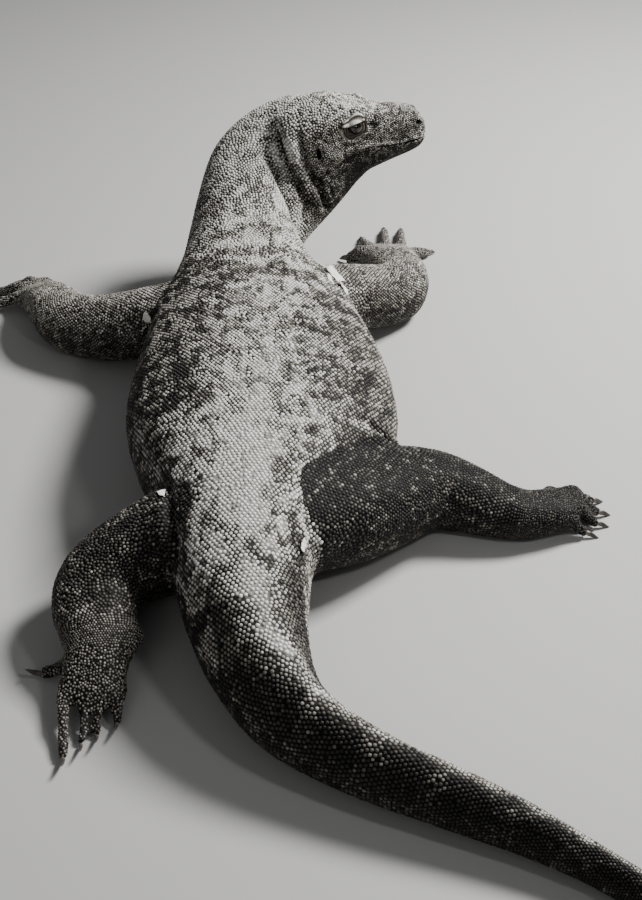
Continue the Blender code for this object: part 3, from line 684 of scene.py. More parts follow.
class Survey:
    """What the later steps ask about places on the hide: nearest middle line, head, digits, pitch."""

    def __init__(self, points):
        self.points = points
        self.way, self.along, self.turn, self.reach = nearest_way(points)
        self.head = in_head(points)
        self.on_head = head_share(self.head)
        self.on_digits = near_digits(points)
        self.on_body = self.way == BODY
        self.outward = points.astype(float)
        for number, (rows, at) in enumerate(ways.values()):
            mine = self.way == number
            for axis in range(3):
                self.outward[mine, axis] -= np.interp(self.along[mine], at, rows[:, axis])
        self.outward /= np.maximum(np.linalg.norm(self.outward, axis=1, keepdims=True), 1e-6)
        size = np.where(self.on_body, BODY_PITCH, LIMB_PITCH)
        neck = smooth_step(self.along, SHOULDER - 0.05, SHOULDER + 0.12) * self.on_body
        size -= 0.0004 * neck
        tail = self.on_body & (self.along < TAIL_ROOT)
        size = np.where(tail, np.clip(self.reach * 0.10 + 0.0014, *TAIL_PITCHES), size)
        crown = smooth_step(self.head[:, 2], 0.040, 0.062)
        behind = smooth_step(self.head[:, 0], 0.02, 0.14)
        face = FACE_PITCH + (0.0002 + 0.0011 * crown) * behind + 0.0003 * crown
        size += (face - size) * self.on_head
        self.pitch = size + (TOE_PITCH - size) * self.on_digits * (self.way != BODY)


print("from tail tip to hips", round(float(HIPS), 3), "m, to shoulders", round(float(SHOULDER), 3), "m")

# %% [markdown]
# The hide is now drawn in, and the tail gets its low keel. Between the scales little of the skin shows,
# so a decimation takes over half of its triangles and spares the face, the hands and the feet.

# %% Draw the hide in and lighten its mesh
SKIN_TRIANGLES = 176000
SUNK = 0.85  # share of a scale's height by which the hide is drawn in


def triangles(mesh):
    return sum(len(face.vertices) - 2 for face in mesh.polygons)


def off_ridge(turn):
    """Angle from the ridge of the back, the same to both sides."""
    angle = np.abs(turn - math.pi / 2)
    return np.minimum(angle, 2 * math.pi - angle)


points, normal = coords(skin.data), normals(skin.data)
there = Survey(points)
points -= normal * (there.pitch * SUNK * SCALE_RISE)[:, None]
on_tail = there.on_body * (1 - smooth_step(there.along, TAIL_ROOT - 0.12, TAIL_ROOT + 0.02))
beside = off_ridge(there.turn)
keel = 0.02 * bell(beside / 0.20) - 0.075 * bell((beside - 0.75) / 0.38)  # a crest and flatter sides
points += normal * (on_tail * keel * there.reach)[:, None]
points[:, 2] = np.maximum(points[:, 2], 0.0009)
set_coords(skin.data, points)
plain = (1 - there.on_head) * (1 - there.on_digits)
before = triangles(skin.data)
plain_group = group_of(skin, "plain", plain)
applied(
    skin, "DECIMATE", ratio=SKIN_TRIANGLES / before, vertex_group=plain_group, vertex_group_factor=1.0
)
print("skin:", before, "triangles brought to", triangles(skin.data))

# %% [markdown]
# ## Markings, with painted light and shade
# The tone of the hide runs from 0, almost black, to 1, bone pale. It is worked out from the place along
# and round the body with a few soft edges, and broken up with noise of two sizes. Besides the markings,
# some of it is painted light and shade, noted where it is added. The skin and the scales both call the
# same function, so that their markings agree. The noise comes first: it has to give the same value at
# the same place for both, so it is worked out and not drawn at random.

# %% Noise
def speckle(points, size, seed=0):
    """Smooth noise from 0 to 1 with blotches of this size."""
    cell = np.floor(points / size)
    share = points / size - cell
    share = share * share * (3 - 2 * share)
    total = np.zeros(len(points))
    for number in range(8):
        corner = np.array([number & 1, number >> 1 & 1, number >> 2 & 1])
        value = np.sin((cell + corner) @ (12.9898, 78.233, 37.719) + seed * 5.17) * 43758.5453
        weight = np.where(corner, share, 1 - share).prod(axis=1)
        total += (value - np.floor(value)) * weight
    return total


def mottled(points, size, seed, low, high):
    """Blotches with soft edges from 0 to 1."""
    coarse = speckle(points, size, seed)
    fine = speckle(points, size * 0.45, seed + 1)
    return smooth_step(0.65 * coarse + 0.35 * fine, low, high)


sample = speckle(coords(skin.data)[:2000], 0.02)
print("noise from", round(float(sample.min()), 2), "to", round(float(sample.max()), 2))

# %% [markdown]
# A pale saddle runs along the back and breaks into bands before the shoulders; in part it is painted
# light on the top of the back. The right flank gets painted light and the low left flank painted shade.
# Behind the hips the animal is dark, and only the crest of the tail stays pale. The tail is darkened
# with painted shade further from its root.

# %% Tone of trunk and tail
def wrapped(angle):
    """The same angle brought back to half a turn at most."""
    return np.where(angle > math.pi, angle - 2 * math.pi, angle)


def body_tone(s):
    """Trunk and neck: a pale saddle along the back, partly painted light, crossed by pale bands before the
    shoulders.
    """
    from_top = off_ridge(s.turn)
    sway = (speckle(s.points, 0.09, 3) - 0.5) * 0.8
    # the pale saddle is partly pigment and partly painted light on the top of the back
    back = bell((from_top + sway) / 0.95)
    # painted light on the right flank, which faces the lamp; it also thins the dark specks there
    right = np.clip(np.cos(s.turn), 0, 1)
    tone = 0.42 + 0.58 * back + 0.20 * right**2
    neck = smooth_step(s.along, SHOULDER - 0.04, SHOULDER + 0.16)
    wave = np.sin(s.along * 2 * math.pi / 0.082 + (speckle(s.points, 0.05, 5) - 0.5) * 4)
    banded = smooth_step(s.along, WAIST + 0.06, SHOULDER - 0.06)
    banded = banded * (1 - smooth_step(s.along, SHOULDER + 0.05, SHOULDER + 0.20))
    tone += 0.16 * banded * wave * bell(from_top / 1.1)
    tone += neck * (0.24 - 0.30 * back)
    clear = bell((from_top + sway) / 0.24)
    specks = mottled(s.points, 0.0125, 11, 0.48, 0.58)
    tone -= 0.50 * specks * (1 - 0.4 * clear) * (1 - 0.5 * neck) * (1 - 0.4 * right**2)
    patches = mottled(s.points, 0.036, 13, 0.50, 0.64)
    tone -= 0.16 * patches * (1 - 0.6 * clear) * (1 - 0.8 * neck)
    tone += 0.12 * mottled(s.points, 0.021, 17, 0.52, 0.66)
    # painted shade low on the left flank, away from the lamp
    return tone - 0.20 * smooth_step(from_top, 1.2, 1.8) * (1 - right)


def tail_tone(s):
    """Tail: dark, with a pale crest and blotchy bands on its sides, darkened with painted shade away from
    its root.
    """
    # to_root is 1 near the root; further from it the tail is darkened and its crest dimmed with painted
    # shade
    to_root = smooth_step(s.along, TAIL_ROOT - 0.30, TAIL_ROOT - 0.03)
    from_top = wrapped(s.turn - math.pi / 2 + 0.34 - 0.09 * to_root)
    ragged = (speckle(s.points, 0.022, 23) - 0.5) * 0.35
    crest = bell((from_top + ragged - 0.20 * to_root) / (0.30 + 0.18 * to_root))
    wave = np.sin(s.along * 2 * math.pi / 0.088 + (speckle(s.points, 0.05, 29) - 0.5) * 5)
    bands = smooth_step(wave, 0.0, 0.8) * mottled(s.points, 0.018, 31, 0.34, 0.56)
    tone = 0.07 + 0.13 * to_root + (0.78 + 0.12 * to_root) * crest * (0.85 + 0.15 * bands)
    below = 0.12 + 0.26 * bell((from_top - 0.55) / 0.65)
    return tone + below * bands * (1 - 0.5 * crest) * (1 - 0.4 * to_root)

# %% [markdown]
# The limbs are darker than the trunk and finely spotted, and the hind legs are the darkest. The arms
# get painted light on top and painted shade below.

# %% Tone of the limbs
LEFT_LEG = list(ways).index("leg_left")


def limb_tone(s):
    """Limbs: dark hind legs with small pale spots, the left one paler below the knee, paler arms with
    painted light on top and painted shade below.
    """
    leg = s.way >= LEFT_LEG
    outwards = smooth_step(s.along, 0.16, 0.30)
    spots = mottled(s.points, 0.0095, 37, 0.58, 0.66)
    # painted light on the upper side of the arms and painted shade under them
    over = smooth_step(s.outward[:, 2], -0.3, 0.7)
    tone = np.where(leg, 0.15 + 0.13 * outwards, 0.34 + 0.30 * over)
    tone += spots * np.where(leg, 0.30 - 0.10 * outwards, 0.20)
    tone += np.where(s.way == LEFT_LEG, 0.08 + 0.30 * outwards, np.where(leg, -0.10 * outwards, 0))
    tone -= 0.18 * mottled(s.points, 0.016, 41, 0.52, 0.66) * np.where(leg, 0.4 + 0.6 * outwards, 1)
    tips = np.where(s.way == LEFT_LEG, 0.44, np.where(leg, 0.20, 0.66))
    return tone + (tips - tone) * 0.8 * s.on_digits


print("way of the left leg:", LEFT_LEG)

# %% [markdown]
# The head is pale on top, with dark strokes behind and before the eye, pale lips and a dark jaw. Its
# strokes are short lines in the same side view as its relief.

# %% Tone of the head
def head_tone(s):
    """Head: pale specks on top, a dark streak behind the eye, pale lips over a dark jaw."""
    flat = s.head[:, [0, 2]]
    up, back = s.head[:, 2], s.head[:, 0]
    tone = 0.68 + 0.16 * smooth_step(up, 0.040, 0.075) - 0.12 * (1 - smooth_step(back, 0.03, 0.09))
    tone += 0.34 * (mottled(s.points, 0.0065, 43, 0.42, 0.58) - 0.5)
    gap, sign, share = to_line(flat, MOUTH)
    over = gap * sign
    tone += 0.26 * bell((over - 0.0052) / 0.0026) * (share < 0.99)
    jaw = smooth_step(-over, 0.001, 0.006) * (back < 0.16)
    tone -= 0.33 * jaw
    streak, _, _ = to_line(flat, ((0.158, 0.052), (0.180, 0.046), (0.205, 0.040)))
    tone -= 0.26 * bell(streak / 0.008)
    lore, _, _ = to_line(flat, ((0.040, 0.026), (0.048, 0.022)))
    tone -= 0.34 * bell(lore / 0.007)
    before_eye, _, _ = to_line(flat, ((0.108, 0.052), (0.096, 0.044)))
    tone -= 0.20 * bell(before_eye / 0.008)
    return tone - 0.30 * smooth_step(-up, 0.012, 0.045)


print("mouth drawn through", len(MOUTH), "points")

# %% [markdown]
# No scales grow in nostrils, ears, the line of the mouth and on the lids. There the skin itself shows,
# painted black with shade in the pits and finely wrinkled on the lids.

# %% Bare places
def pit_share(place):
    """1 inside nostril, ear and the line of the mouth, where no scales grow and painted shade turns the
    skin black.
    """
    flat = place[:, [0, 2]]
    sideways = np.abs(place[:, 1]) > 0.008
    pits = np.maximum(
        1 - smooth_step(oval(flat, NOSTRIL, NOSTRIL_SIZE), 0.75, 1.05),
        1 - smooth_step(oval(flat, EAR, EAR_SIZE), 0.85, 1.15),
    )
    gap, _, share = to_line(flat, MOUTH)
    line = (1 - smooth_step(gap, 0.0007, 0.0016)) * (share < 0.99)
    return np.maximum(pits * sideways, line) * (place[:, 2] > -0.05)


def lid_share(place):
    """1 on the bare skin of the eyelids, and how pale it is."""
    bare, pale = np.zeros(len(place)), np.zeros(len(place))
    for side in (1, -1):
        x, y, out = eye_places(place, side)
        near = (np.hypot(x, y) < 0.044) & (out > 0.034)
        foot = lid_foot(x) - 0.0006
        bands = near * (y > foot - 0.0008) * (y < brow_edge(x) - 0.0003) * (band_taper(x) > 0.25)
        soft = smooth_step(y, foot - 0.0008, foot + 0.0012) * smooth_step(band_taper(x), 0.20, 0.60)
        # painted shade along the crease between the two fleshy bands
        crease = 1 - 0.8 * bell((y - lid_crease(x)) / 0.0012)
        share = under_eye(x, y)
        within = (share < 0.80) * (x > -0.036) * (x < 0.024)
        arcs = near * (y < np.clip(upper_edge(x), 0.004, 0.007)) * within
        hole = near * (opening(x, y) > -0.0012)
        bare = np.maximum(bare, np.maximum(bands, np.maximum(arcs, hole)))
        wrinkled = 0.74 + 0.10 * np.sin((y - 0.25 * x) * 3600 + 1.5 * np.sin(x * 700))
        wrinkled += 0.06 * np.sin(x * 2300)
        # the bands are pale, in part painted light on their bulging faces
        pale = np.maximum(pale, bands * (0.16 + (crease * wrinkled - 0.16) * soft))
        # the arcs are lighter on their ridges and darker between them, in step with their relief: painted
        # light and shade
        fine = 0.18 + 0.13 * np.sin(arc_phase(x, y, share)) + 0.05 * bell((share - 0.82) / 0.08)
        pale = np.maximum(pale, arcs * fine * (bands == 0))
        # painted shade: the skin inside the opening, behind the ball, is nearly black
        pale = np.where(near & (opening(x, y) > 0.0006), 0.05, pale)
    return bare, pale


place = in_head(coords(skin.data))
print("bare points:", int((np.maximum(pit_share(place), lid_share(place)[0]) > 0.5).sum()))

# %% [markdown]
# All of it comes together in one function. Between trunk and tail the tone changes along an edge with
# two dark arches beside the crest, and the rump before it is paler than the trunk. The grooves of the
# neck folds get painted shade and their ridges painted light.

# %% Mark the skin
def tone_at(s):
    """Tone of the hide at the surveyed places."""
    from_crest = wrapped(s.turn - math.pi / 2 + 0.25)
    edge = TAIL_ROOT + 0.004 - 0.15 * (np.abs(from_crest) - 0.42) ** 2  # two dark arches beside the crest
    edge = edge - 0.06 * smooth_step(-from_crest, 0.75, 1.15)
    edge = edge + (speckle(s.points, 0.012, 47) - 0.5) * 0.012
    rump = smooth_step(s.along, TAIL_ROOT - 0.10, HIPS) * (1 - smooth_step(s.along, HIPS, HIPS + 0.16))
    trunk = body_tone(s) + 0.42 * rump * np.clip(np.sin(s.turn) + 0.3, 0, 1)
    trunk -= 0.20 * rump * mottled(s.points, 0.024, 53, 0.50, 0.66)
    ahead = smooth_step(s.along, edge - 0.006, edge + 0.006)
    tone = tail_tone(s) * (1 - ahead) + trunk * ahead
    # painted shade in the grooves of the neck folds and painted light on their ridges
    folds = [(line, width) for line, _, _, width in NECK_FOLDS]
    tone = tone + sum(fold_relief(s.points, s.outward, line, 0.12, 0.42, width) for line, width in folds)
    tone = np.where(s.on_body, tone, limb_tone(s))
    tone = tone + (head_tone(s) - tone) * s.on_head
    bare, pale = lid_share(s.head)
    tone = tone + (pale - tone) * bare
    # painted shade: the pits of nostrils and ears and the line of the mouth go black
    return np.clip(tone * (1 - pit_share(s.head)), 0.02, 0.98)


# the painted shade in the gaps is lightened this far where the hide is palest
FILLING = 0.42  # how far the gaps are filled where the hide is palest


def filled(rise, tone):
    """Rise raised where the hide is palest, so that the painted shade in the gaps is lighter there."""
    return rise + (1 - rise) * FILLING * smooth_step(tone, 0.78, 1.0)


def attribute(mesh, name, values):
    layer = mesh.attributes.new(name, "FLOAT", "POINT")
    layer.data.foreach_set("value", values.astype(np.float32))


there = Survey(coords(skin.data))
skin_tone = tone_at(there)
attribute(skin.data, "tone", skin_tone)
# the skin between the scales and in the pits gets painted shade through rise, less where the hide is
# palest; the bare lids get none
level = filled(0.0, skin_tone) * (1 - pit_share(there.head))
attribute(skin.data, "rise", np.maximum(lid_share(there.head)[0], level))
print("marked the skin, mean tone", round(float(skin_tone.mean()), 2))

# %% [markdown]
# ## Laying the scales
# A monitor's scales stand in rings round the body, each ring set half a scale on from its neighbour.
# So rings are cast from the middle lines out to the hide, starting at the ridge of the back. Each root
# is a place for one scale.

# %% Rings of scale roots
hide = BVHTree.FromPolygons(coords(skin.data).tolist(), [tuple(f.vertices) for f in skin.data.polygons])
random = np.random.default_rng(7)


def ring_roots(centre, direction, reach, pitch, offset):
    """Places an even step apart round a ring, both ways from its top."""
    side = direction.cross(Vector((0, 0, 1))).normalized()
    over = side.cross(direction)
    count = max(20, int(2 * math.pi * reach / pitch * 1.6))
    found = []
    for hand in (1, -1):
        travelled, last = 0.0, None
        wanted = pitch * offset if hand == 1 else pitch * (1 - offset)
        for number in range(count // 2 + 2):
            angle = math.pi / 2 - hand * 2 * math.pi * number / count
            ray = side * math.cos(angle) + over * math.sin(angle)
            spot = hide.ray_cast(centre, ray, reach * 1.35 + 0.004)[0]
            if spot is None:
                last = None
                continue
            if last is not None:
                step = (spot - last).length
                while wanted <= travelled + step:
                    found.append(last.lerp(spot, (wanted - travelled) / step))
                    wanted += pitch
                travelled += step
            last = spot
    return found


def way_roots(name):
    """Roots of all the rings round one middle line."""
    rows, at = ways[name]
    direction = np.gradient(rows[:, :3], at, axis=0)
    direction /= np.linalg.norm(direction, axis=1)[:, None]
    bend = np.linalg.norm(np.gradient(direction, at, axis=0), axis=1)
    bend = np.convolve(np.pad(bend, 8, "edge"), np.ones(17) / 17, "valid")
    sizes = Survey(rows[:, :3] + (0, 0, 1e-4)).pitch
    found, travelled, row = [], 0.004, 0
    while travelled < at[-1]:
        centre = Vector([np.interp(travelled, at, rows[:, k]) for k in range(3)])
        forwards = Vector([np.interp(travelled, at, direction[:, k]) for k in range(3)]).normalized()
        reach, curve, pitch = (np.interp(travelled, at, v) for v in (rows[:, 3], bend, sizes))
        found += ring_roots(centre, forwards, reach, pitch, 0.5 * (row % 2))
        travelled += 0.87 * pitch / (1 + min(reach * curve, 1.2))
        row += 1
    return found


rings = {name: way_roots(name) for name in ways}
print("roots in rings:", {name: len(found) for name, found in rings.items()})

# %% [markdown]
# Where rings of two limbs meet they crowd, and the later ones are dropped. Where they spread, on the
# outside of a bend and over the toes, single scales are scattered into the gaps. Every root strays a
# little from its ring, because perfect rows would look machined.

# %% Keep their distance
STRAY = 0.11  # how far a root strays from its ring, for its pitch
RING_GAP, FILL_GAP = 0.68, 0.80  # least distances between roots, for their pitch
CANDIDATES = 330000
LEAST_GAP = 0.0029  # a place nearer than this to a ring's root gets no scale
CELL = 0.0072  # more than any of these distances


class Spacing:
    """Remembers places and refuses one that comes too near another."""

    def __init__(self, cell):
        self.cell, self.grid, self.places = cell, {}, []

    def add(self, place, gap):
        x, y, z = place
        key = (int(x // self.cell), int(y // self.cell), int(z // self.cell))
        for i in (key[0] - 1, key[0], key[0] + 1):
            for j in (key[1] - 1, key[1], key[1] + 1):
                for k in (key[2] - 1, key[2], key[2] + 1):
                    for a, b, c in self.grid.get((i, j, k), ()):
                        if (a - x) ** 2 + (b - y) ** 2 + (c - z) ** 2 < gap * gap:
                            return False
        self.grid.setdefault(key, []).append((x, y, z))
        self.places.append((x, y, z))
        return True


kept = Spacing(CELL)
for name in ways:
    places = np.array(rings[name])
    pitches = Survey(places).pitch
    places += random.normal(0, STRAY, places.shape) * pitches[:, None]
    for place, pitch in zip(places.tolist(), pitches.tolist()):
        kept.add(place, RING_GAP * pitch)
in_rings = len(kept.places)

tree = tree_of(kept.places)
corners = coords(skin.data)[np.array([f.vertices[:3] for f in skin.data.polygons])]
area = np.linalg.norm(np.cross(corners[:, 1] - corners[:, 0], corners[:, 2] - corners[:, 0]), axis=1) / 2
chance = area / Survey(corners.mean(axis=1)).pitch ** 2
picked = random.choice(len(corners), CANDIDATES, p=chance / chance.sum())
u, v = random.random((2, len(picked), 1))
flip = u + v > 1
u, v = np.where(flip, 1 - u, u), np.where(flip, 1 - v, v)
loose = corners[picked, 0] * (1 - u - v) + corners[picked, 1] * u + corners[picked, 2] * v
free = np.array([tree.find(place)[2] for place in loose])
roomy = free > LEAST_GAP
loose, free = loose[roomy], free[roomy]
sizes = Survey(loose).pitch
fitting = free > FILL_GAP * sizes
for place, pitch in zip(loose[fitting].tolist(), sizes[fitting].tolist()):
    kept.add(place, FILL_GAP * pitch)
print("scales:", in_rings, "in rings,", len(kept.places) - in_rings, "between")

# %% [markdown]
# Growing scales push on each other until they fill the hide evenly. Two rounds of the same here, each
# followed by a step back onto the hide, close the larger gaps and part the ones that overlap.

# %% Let them settle
SETTLINGS = 2  # rounds in which crowded scales push each other apart
PUSH = 0.30


def neighbours(places, count):
    """For every place, its nearest others: their numbers and distances."""
    tree = tree_of(places)
    found = [tree.find_n(place, count + 1)[1:] for place in places]
    numbers = np.array([[n for _, n, _ in row] for row in found])
    return numbers, np.array([[d for _, _, d in row] for row in found])


def on_hide(places):
    """The nearest places on the hide and the way it faces there."""
    found = [hide.find_nearest(place)[:2] for place in places]
    return np.array([spot for spot, _ in found]), np.array([facing for _, facing in found])


roots = np.array(kept.places)
for _ in range(SETTLINGS):
    near, distance = neighbours(roots, 6)
    crowding = np.clip(1 - distance / Survey(roots).pitch[:, None], 0, 0.5) / np.maximum(distance, 1e-6)
    push = ((roots[:, None] - roots[near]) * crowding[..., None]).sum(axis=1)
    roots = on_hide(roots + PUSH * push * Survey(roots).pitch[:, None])[0]
print("settled", len(roots), "scales")

# %% [markdown]
# ### The shape of a scale
# Each scale is a low six-sided dome. Its width follows the distance to its neighbours, so that crowded
# ones are small and none overlap much. Eighteen triangles are enough for a bead seen from a metre away,
# and a few tens of thousands of them still load quickly.

# %% Beads
TOUCHING = 0.485  # radius of a bead for the mean distance to its neighbours
SIDES = 6
HEX = np.array([
    [math.cos(math.pi * 2 * k / SIDES), math.sin(math.pi * 2 * k / SIDES)] for k in range(SIDES)
])
BEAD = np.vstack([
    np.column_stack([HEX, np.full(SIDES, -0.35)]),
    np.column_stack([HEX * 0.74, np.full(SIDES, 0.66)]),
    [[0.0, 0.0, 1.0]],
])
# how high on a bead each ring lies, for the painted shade that darkens its foot
BEAD_RISE = np.array([0.0] * SIDES + [0.72] * SIDES + [1.0])
BEAD_FACES = np.array([
    face
    for k in range(SIDES)
    for n in [(k + 1) % SIDES]
    for face in ((k, n, SIDES + n), (k, SIDES + n, SIDES + k), (SIDES + k, SIDES + n, 2 * SIDES))
])


def mesh_of(name, places, faces):
    """A mesh of triangles from arrays."""
    mesh = bpy.data.meshes.new(name)
    mesh.vertices.add(len(places))
    mesh.vertices.foreach_set("co", places.astype(np.float32).ravel())
    mesh.loops.add(faces.size)
    mesh.loops.foreach_set("vertex_index", faces.astype(np.int32).ravel())
    mesh.polygons.add(len(faces))
    mesh.polygons.foreach_set("loop_start", np.arange(0, faces.size, 3, dtype=np.int32))
    mesh.update(calc_edges=True)
    mesh.shade_smooth()
    return mesh


def unit(vectors):
    return vectors / np.maximum(np.linalg.norm(vectors, axis=-1, keepdims=True), 1e-9)


roots, standing = on_hide(roots)
place = in_head(roots)
grown = (pit_share(place) < 0.35) & (lid_share(place)[0] < 0.5)
roots, standing = roots[grown], standing[grown]
s = Survey(roots)

spread = neighbours(roots, 5)[1].mean(axis=1)
radius = TOUCHING * spread * random.uniform(0.92, 1.05, len(roots))
radius = np.clip(radius, 0.38 * s.pitch, 0.56 * s.pitch)
print("beads:", len(roots), "mean width", round(float(radius.mean()) * 2000, 2), "mm")

# %% [markdown]
# A scale is a little longer than wide and lies along its limb, with its crown away from the hide. Its
# tone is that of the hide under it, varied a little from scale to scale, and about one in eight is dull.

# %% Which way they lie
DULL = 0.13  # share of the scales that are darker than their neighbours


def forwards_at(s):
    """The way each place's middle line runs."""
    out = np.zeros((len(s.points), 3))
    for number, (rows, at) in enumerate(ways.values()):
        direction = np.gradient(rows[:, :3], axis=0)
        mine = s.way == number
        out[mine] = np.column_stack([np.interp(s.along[mine], at, direction[:, k]) for k in range(3)])
    return unit(out)


lie = forwards_at(s)
lie = unit(lie - standing * (lie * standing).sum(1, keepdims=True))
across = np.cross(standing, lie)
dull = random.random(len(roots)) < DULL
ground = tone_at(s)
tone = np.clip(ground + random.normal(0, 0.10, len(roots)) - 0.26 * dull, 0.02, 1.0)
print("dull scales:", int(dull.sum()))

# %% [markdown]
# ### Pieces of the coat
# The coat is cut into pieces by body part, each well under two hundred thousand triangles. Every
# scale's little patch on the piece's own map lies where its root does on an unrolled hide: distance
# along the limb one way and turn round it the other. Hands and feet are laid out as seen from above
# and from below.

# %% Cut and unroll the coat
PATCH = 0.0015  # half the width of a scale's patch on the map


def regions(s):
    """Name of the coat piece that each root belongs to."""
    limb = np.array(["body", "arm_left", "arm_right", "leg_left", "leg_right"])[s.way]
    tips = np.array(["body", "hand_left", "hand_right", "foot_left", "foot_right"])[s.way]
    name = np.where(s.on_digits > 0.55, tips, limb)
    edges = (TAIL_MIDDLE, TAIL_ROOT, HIPS + 0.06, WAIST, SHOULDER, SHOULDER + 0.14, 9.0)
    words = ("tail_rear", "tail_front", "hips", "trunk_rear", "trunk_front", "neck_rear", "neck_front")
    for low, high, word in zip((-9.0, *edges), edges, words):
        name = np.where(s.on_body & (s.along >= low) & (s.along < high), word, name)
    return np.where(s.on_head > 0.5, "head", name)


def unrolled(s, mine, name):
    """Place of each root on its piece's map, from 0.01 to 0.99 both ways."""
    if name.startswith(("hand", "foot")):
        u, v = s.points[mine, 0], s.points[mine, 1]
    elif name == "head":
        u, v = s.head[mine, 0], np.arctan2(s.head[mine, 2] - 0.02, s.head[mine, 1])
    else:
        u, v = s.along[mine], s.turn[mine]
    flat = np.stack([u, v], axis=1)
    flat = 0.01 + 0.98 * (flat - flat.min(axis=0)) / np.ptp(flat, axis=0)
    if name.startswith(("hand", "foot")):
        flat[:, 0] = flat[:, 0] * 0.49 + 0.5 * (standing[mine, 2] < 0)
    return flat


region = regions(s)
print("scales by piece:", {str(name): int((region == name).sum()) for name in np.unique(region)})

# %% [markdown]
# Arrays set all the scales of a piece at once: a dome for every root, wobbled a little, turned along
# the limb and stood on the hide. Each point keeps the tone of its scale and how high on it it lies.

# %% Set the scales
def coat_piece(name, mine):
    """All the scales of one region as one mesh."""
    count = int(mine.sum())
    wobble = 1 + random.uniform(-0.09, 0.09, (count, SIDES, 1))
    shape = np.repeat(BEAD[None], count, axis=0)
    shape[:, :SIDES, :2] *= wobble
    shape[:, SIDES : 2 * SIDES, :2] *= wobble
    size = radius[mine, None]
    high = SCALE_RISE * s.pitch[mine, None] * random.uniform(0.82, 1.18, (count, 1))
    place = roots[mine, None] + (
        lie[mine, None] * (shape[..., 0] * size * 1.05)[..., None]
        + across[mine, None] * (shape[..., 1] * size * 0.97)[..., None]
        + standing[mine, None] * (shape[..., 2] * high)[..., None]
    )
    place = place.reshape(-1, 3)
    place[:, 2] = np.maximum(place[:, 2], 0.0002)
    faces = (BEAD_FACES[None] + (np.arange(count) * len(BEAD))[:, None, None]).reshape(-1, 3)
    mesh = mesh_of("scales_" + name, place, faces)
    attribute(mesh, "tone", np.repeat(tone[mine], len(BEAD)))
    # rise darkens the foot of each bead and the gap beside it with painted shade
    attribute(mesh, "rise", filled(BEAD_RISE[None], ground[mine, None]).ravel())
    corner = unrolled(s, mine, name)[:, None] + BEAD[None, :, :2] * PATCH
    layer = mesh.uv_layers.new(name="OFBake")
    layer.data.foreach_set("uv", corner.reshape(-1, 2)[faces.ravel()].astype(np.float32).ravel())
    return linked(mesh.name, mesh)


coat = {name: coat_piece(name, region == name) for name in sorted(set(region.tolist()))}
print({name: len(piece.data.polygons) for name, piece in coat.items()})
print("coat:", sum(len(piece.data.polygons) for piece in coat.values()), "triangles")

# %% [markdown]
# ## Shed skin
# Lizards shed in rags. A few pale, papery flakes still cling behind the shoulders and at the hips, one
# end stuck to the scales and the other curling free. Each starts as a grid, is laid on the hide, lifted
# towards its free end and torn along its edges, and gets a paper's thickness.

# %% Flakes
# Place from the hips' anchor, length, width, turn from the animal's length, lift of the free end.
FLAKES = (
    ((0.150, 0.655, 0.175), 0.046, 0.026, -0.9, 0.010), ((0.172, 0.640, 0.155), 0.038, 0.018, -1.5, 0.008),
    ((0.135, 0.625, 0.185), 0.026, 0.015, -0.3, 0.005), ((-0.190, 0.600, 0.120), 0.030, 0.018, 2.2, 0.007),
    ((-0.112, 0.060, 0.160), 0.030, 0.014, 2.8, 0.005), ((0.098, -0.030, 0.150), 0.032, 0.014, -2.6, 0.006),
)
FLAKE_CELLS = (14, 8)
PAPER = 0.0004  # thickness of shed skin
ON_SCALES = 0.0021  # height of the scales that a flake lies on


def flake(number, spot, length, width, turn, lift):
    """One rag of shed skin, stuck at one end."""
    spot, facing, _, _ = hide.find_nearest(Vector(spot) + hips)
    ahead = Vector((math.sin(turn), math.cos(turn), 0))
    ahead = (ahead - facing * ahead.dot(facing)).normalized()
    beside = facing.cross(ahead)
    bpy.ops.object.select_all(action="DESELECT")
    bpy.ops.mesh.primitive_grid_add(x_subdivisions=FLAKE_CELLS[0], y_subdivisions=FLAKE_CELLS[1], size=1)
    rag = bpy.context.object
    rag.name = rag.data.name = f"shed_skin_{number}"
    flat = coords(rag.data)
    u, v = flat[:, 0] + 0.5, flat[:, 1] * 2
    torn = 1 - 0.35 * speckle(flat + number, 0.13, 61) - 0.25 * u**2
    u_torn = u * (1 - 0.25 * speckle(flat * (0, 1, 1) + number, 0.09, 67))
    base = np.array(spot) + np.outer(u_torn * length, ahead) + np.outer(v * width / 2 * torn, beside)
    draped, rise = np.empty_like(base), lift * u**2 * (1 - 0.3 * v**2) + 0.0006 * np.sin(u * 19 + v * 4)
    for k, place in enumerate(base):
        near, normal, _, _ = hide.find_nearest(place)
        draped[k] = np.array(near + normal * ON_SCALES) + np.array(facing) * rise[k]
    set_coords(rag.data, draped)
    attribute(rag.data, "tone", 0.80 + 0.18 * speckle(draped, 0.006, 71))
    attribute(rag.data, "rise", np.full(len(draped), 1.0))
    applied(rag, "SOLIDIFY", thickness=PAPER)
    applied(rag, "SUBSURF", levels=1, render_levels=1)
    rag.data.shade_smooth()
    return rag


flakes = [flake(number, *row) for number, row in enumerate(FLAKES, 1)]
print("flakes:", len(flakes))

# %% [markdown]
# ## Eyes
# The eye of a monitor is dark all over: a round black pupil in an iris that is hardly lighter. Each is
# a ball whose poles look outwards, so that the angle from the pole can colour pupil, iris and rim. A
# low bulge over the iris makes the cornea, which catches the light above the pupil.

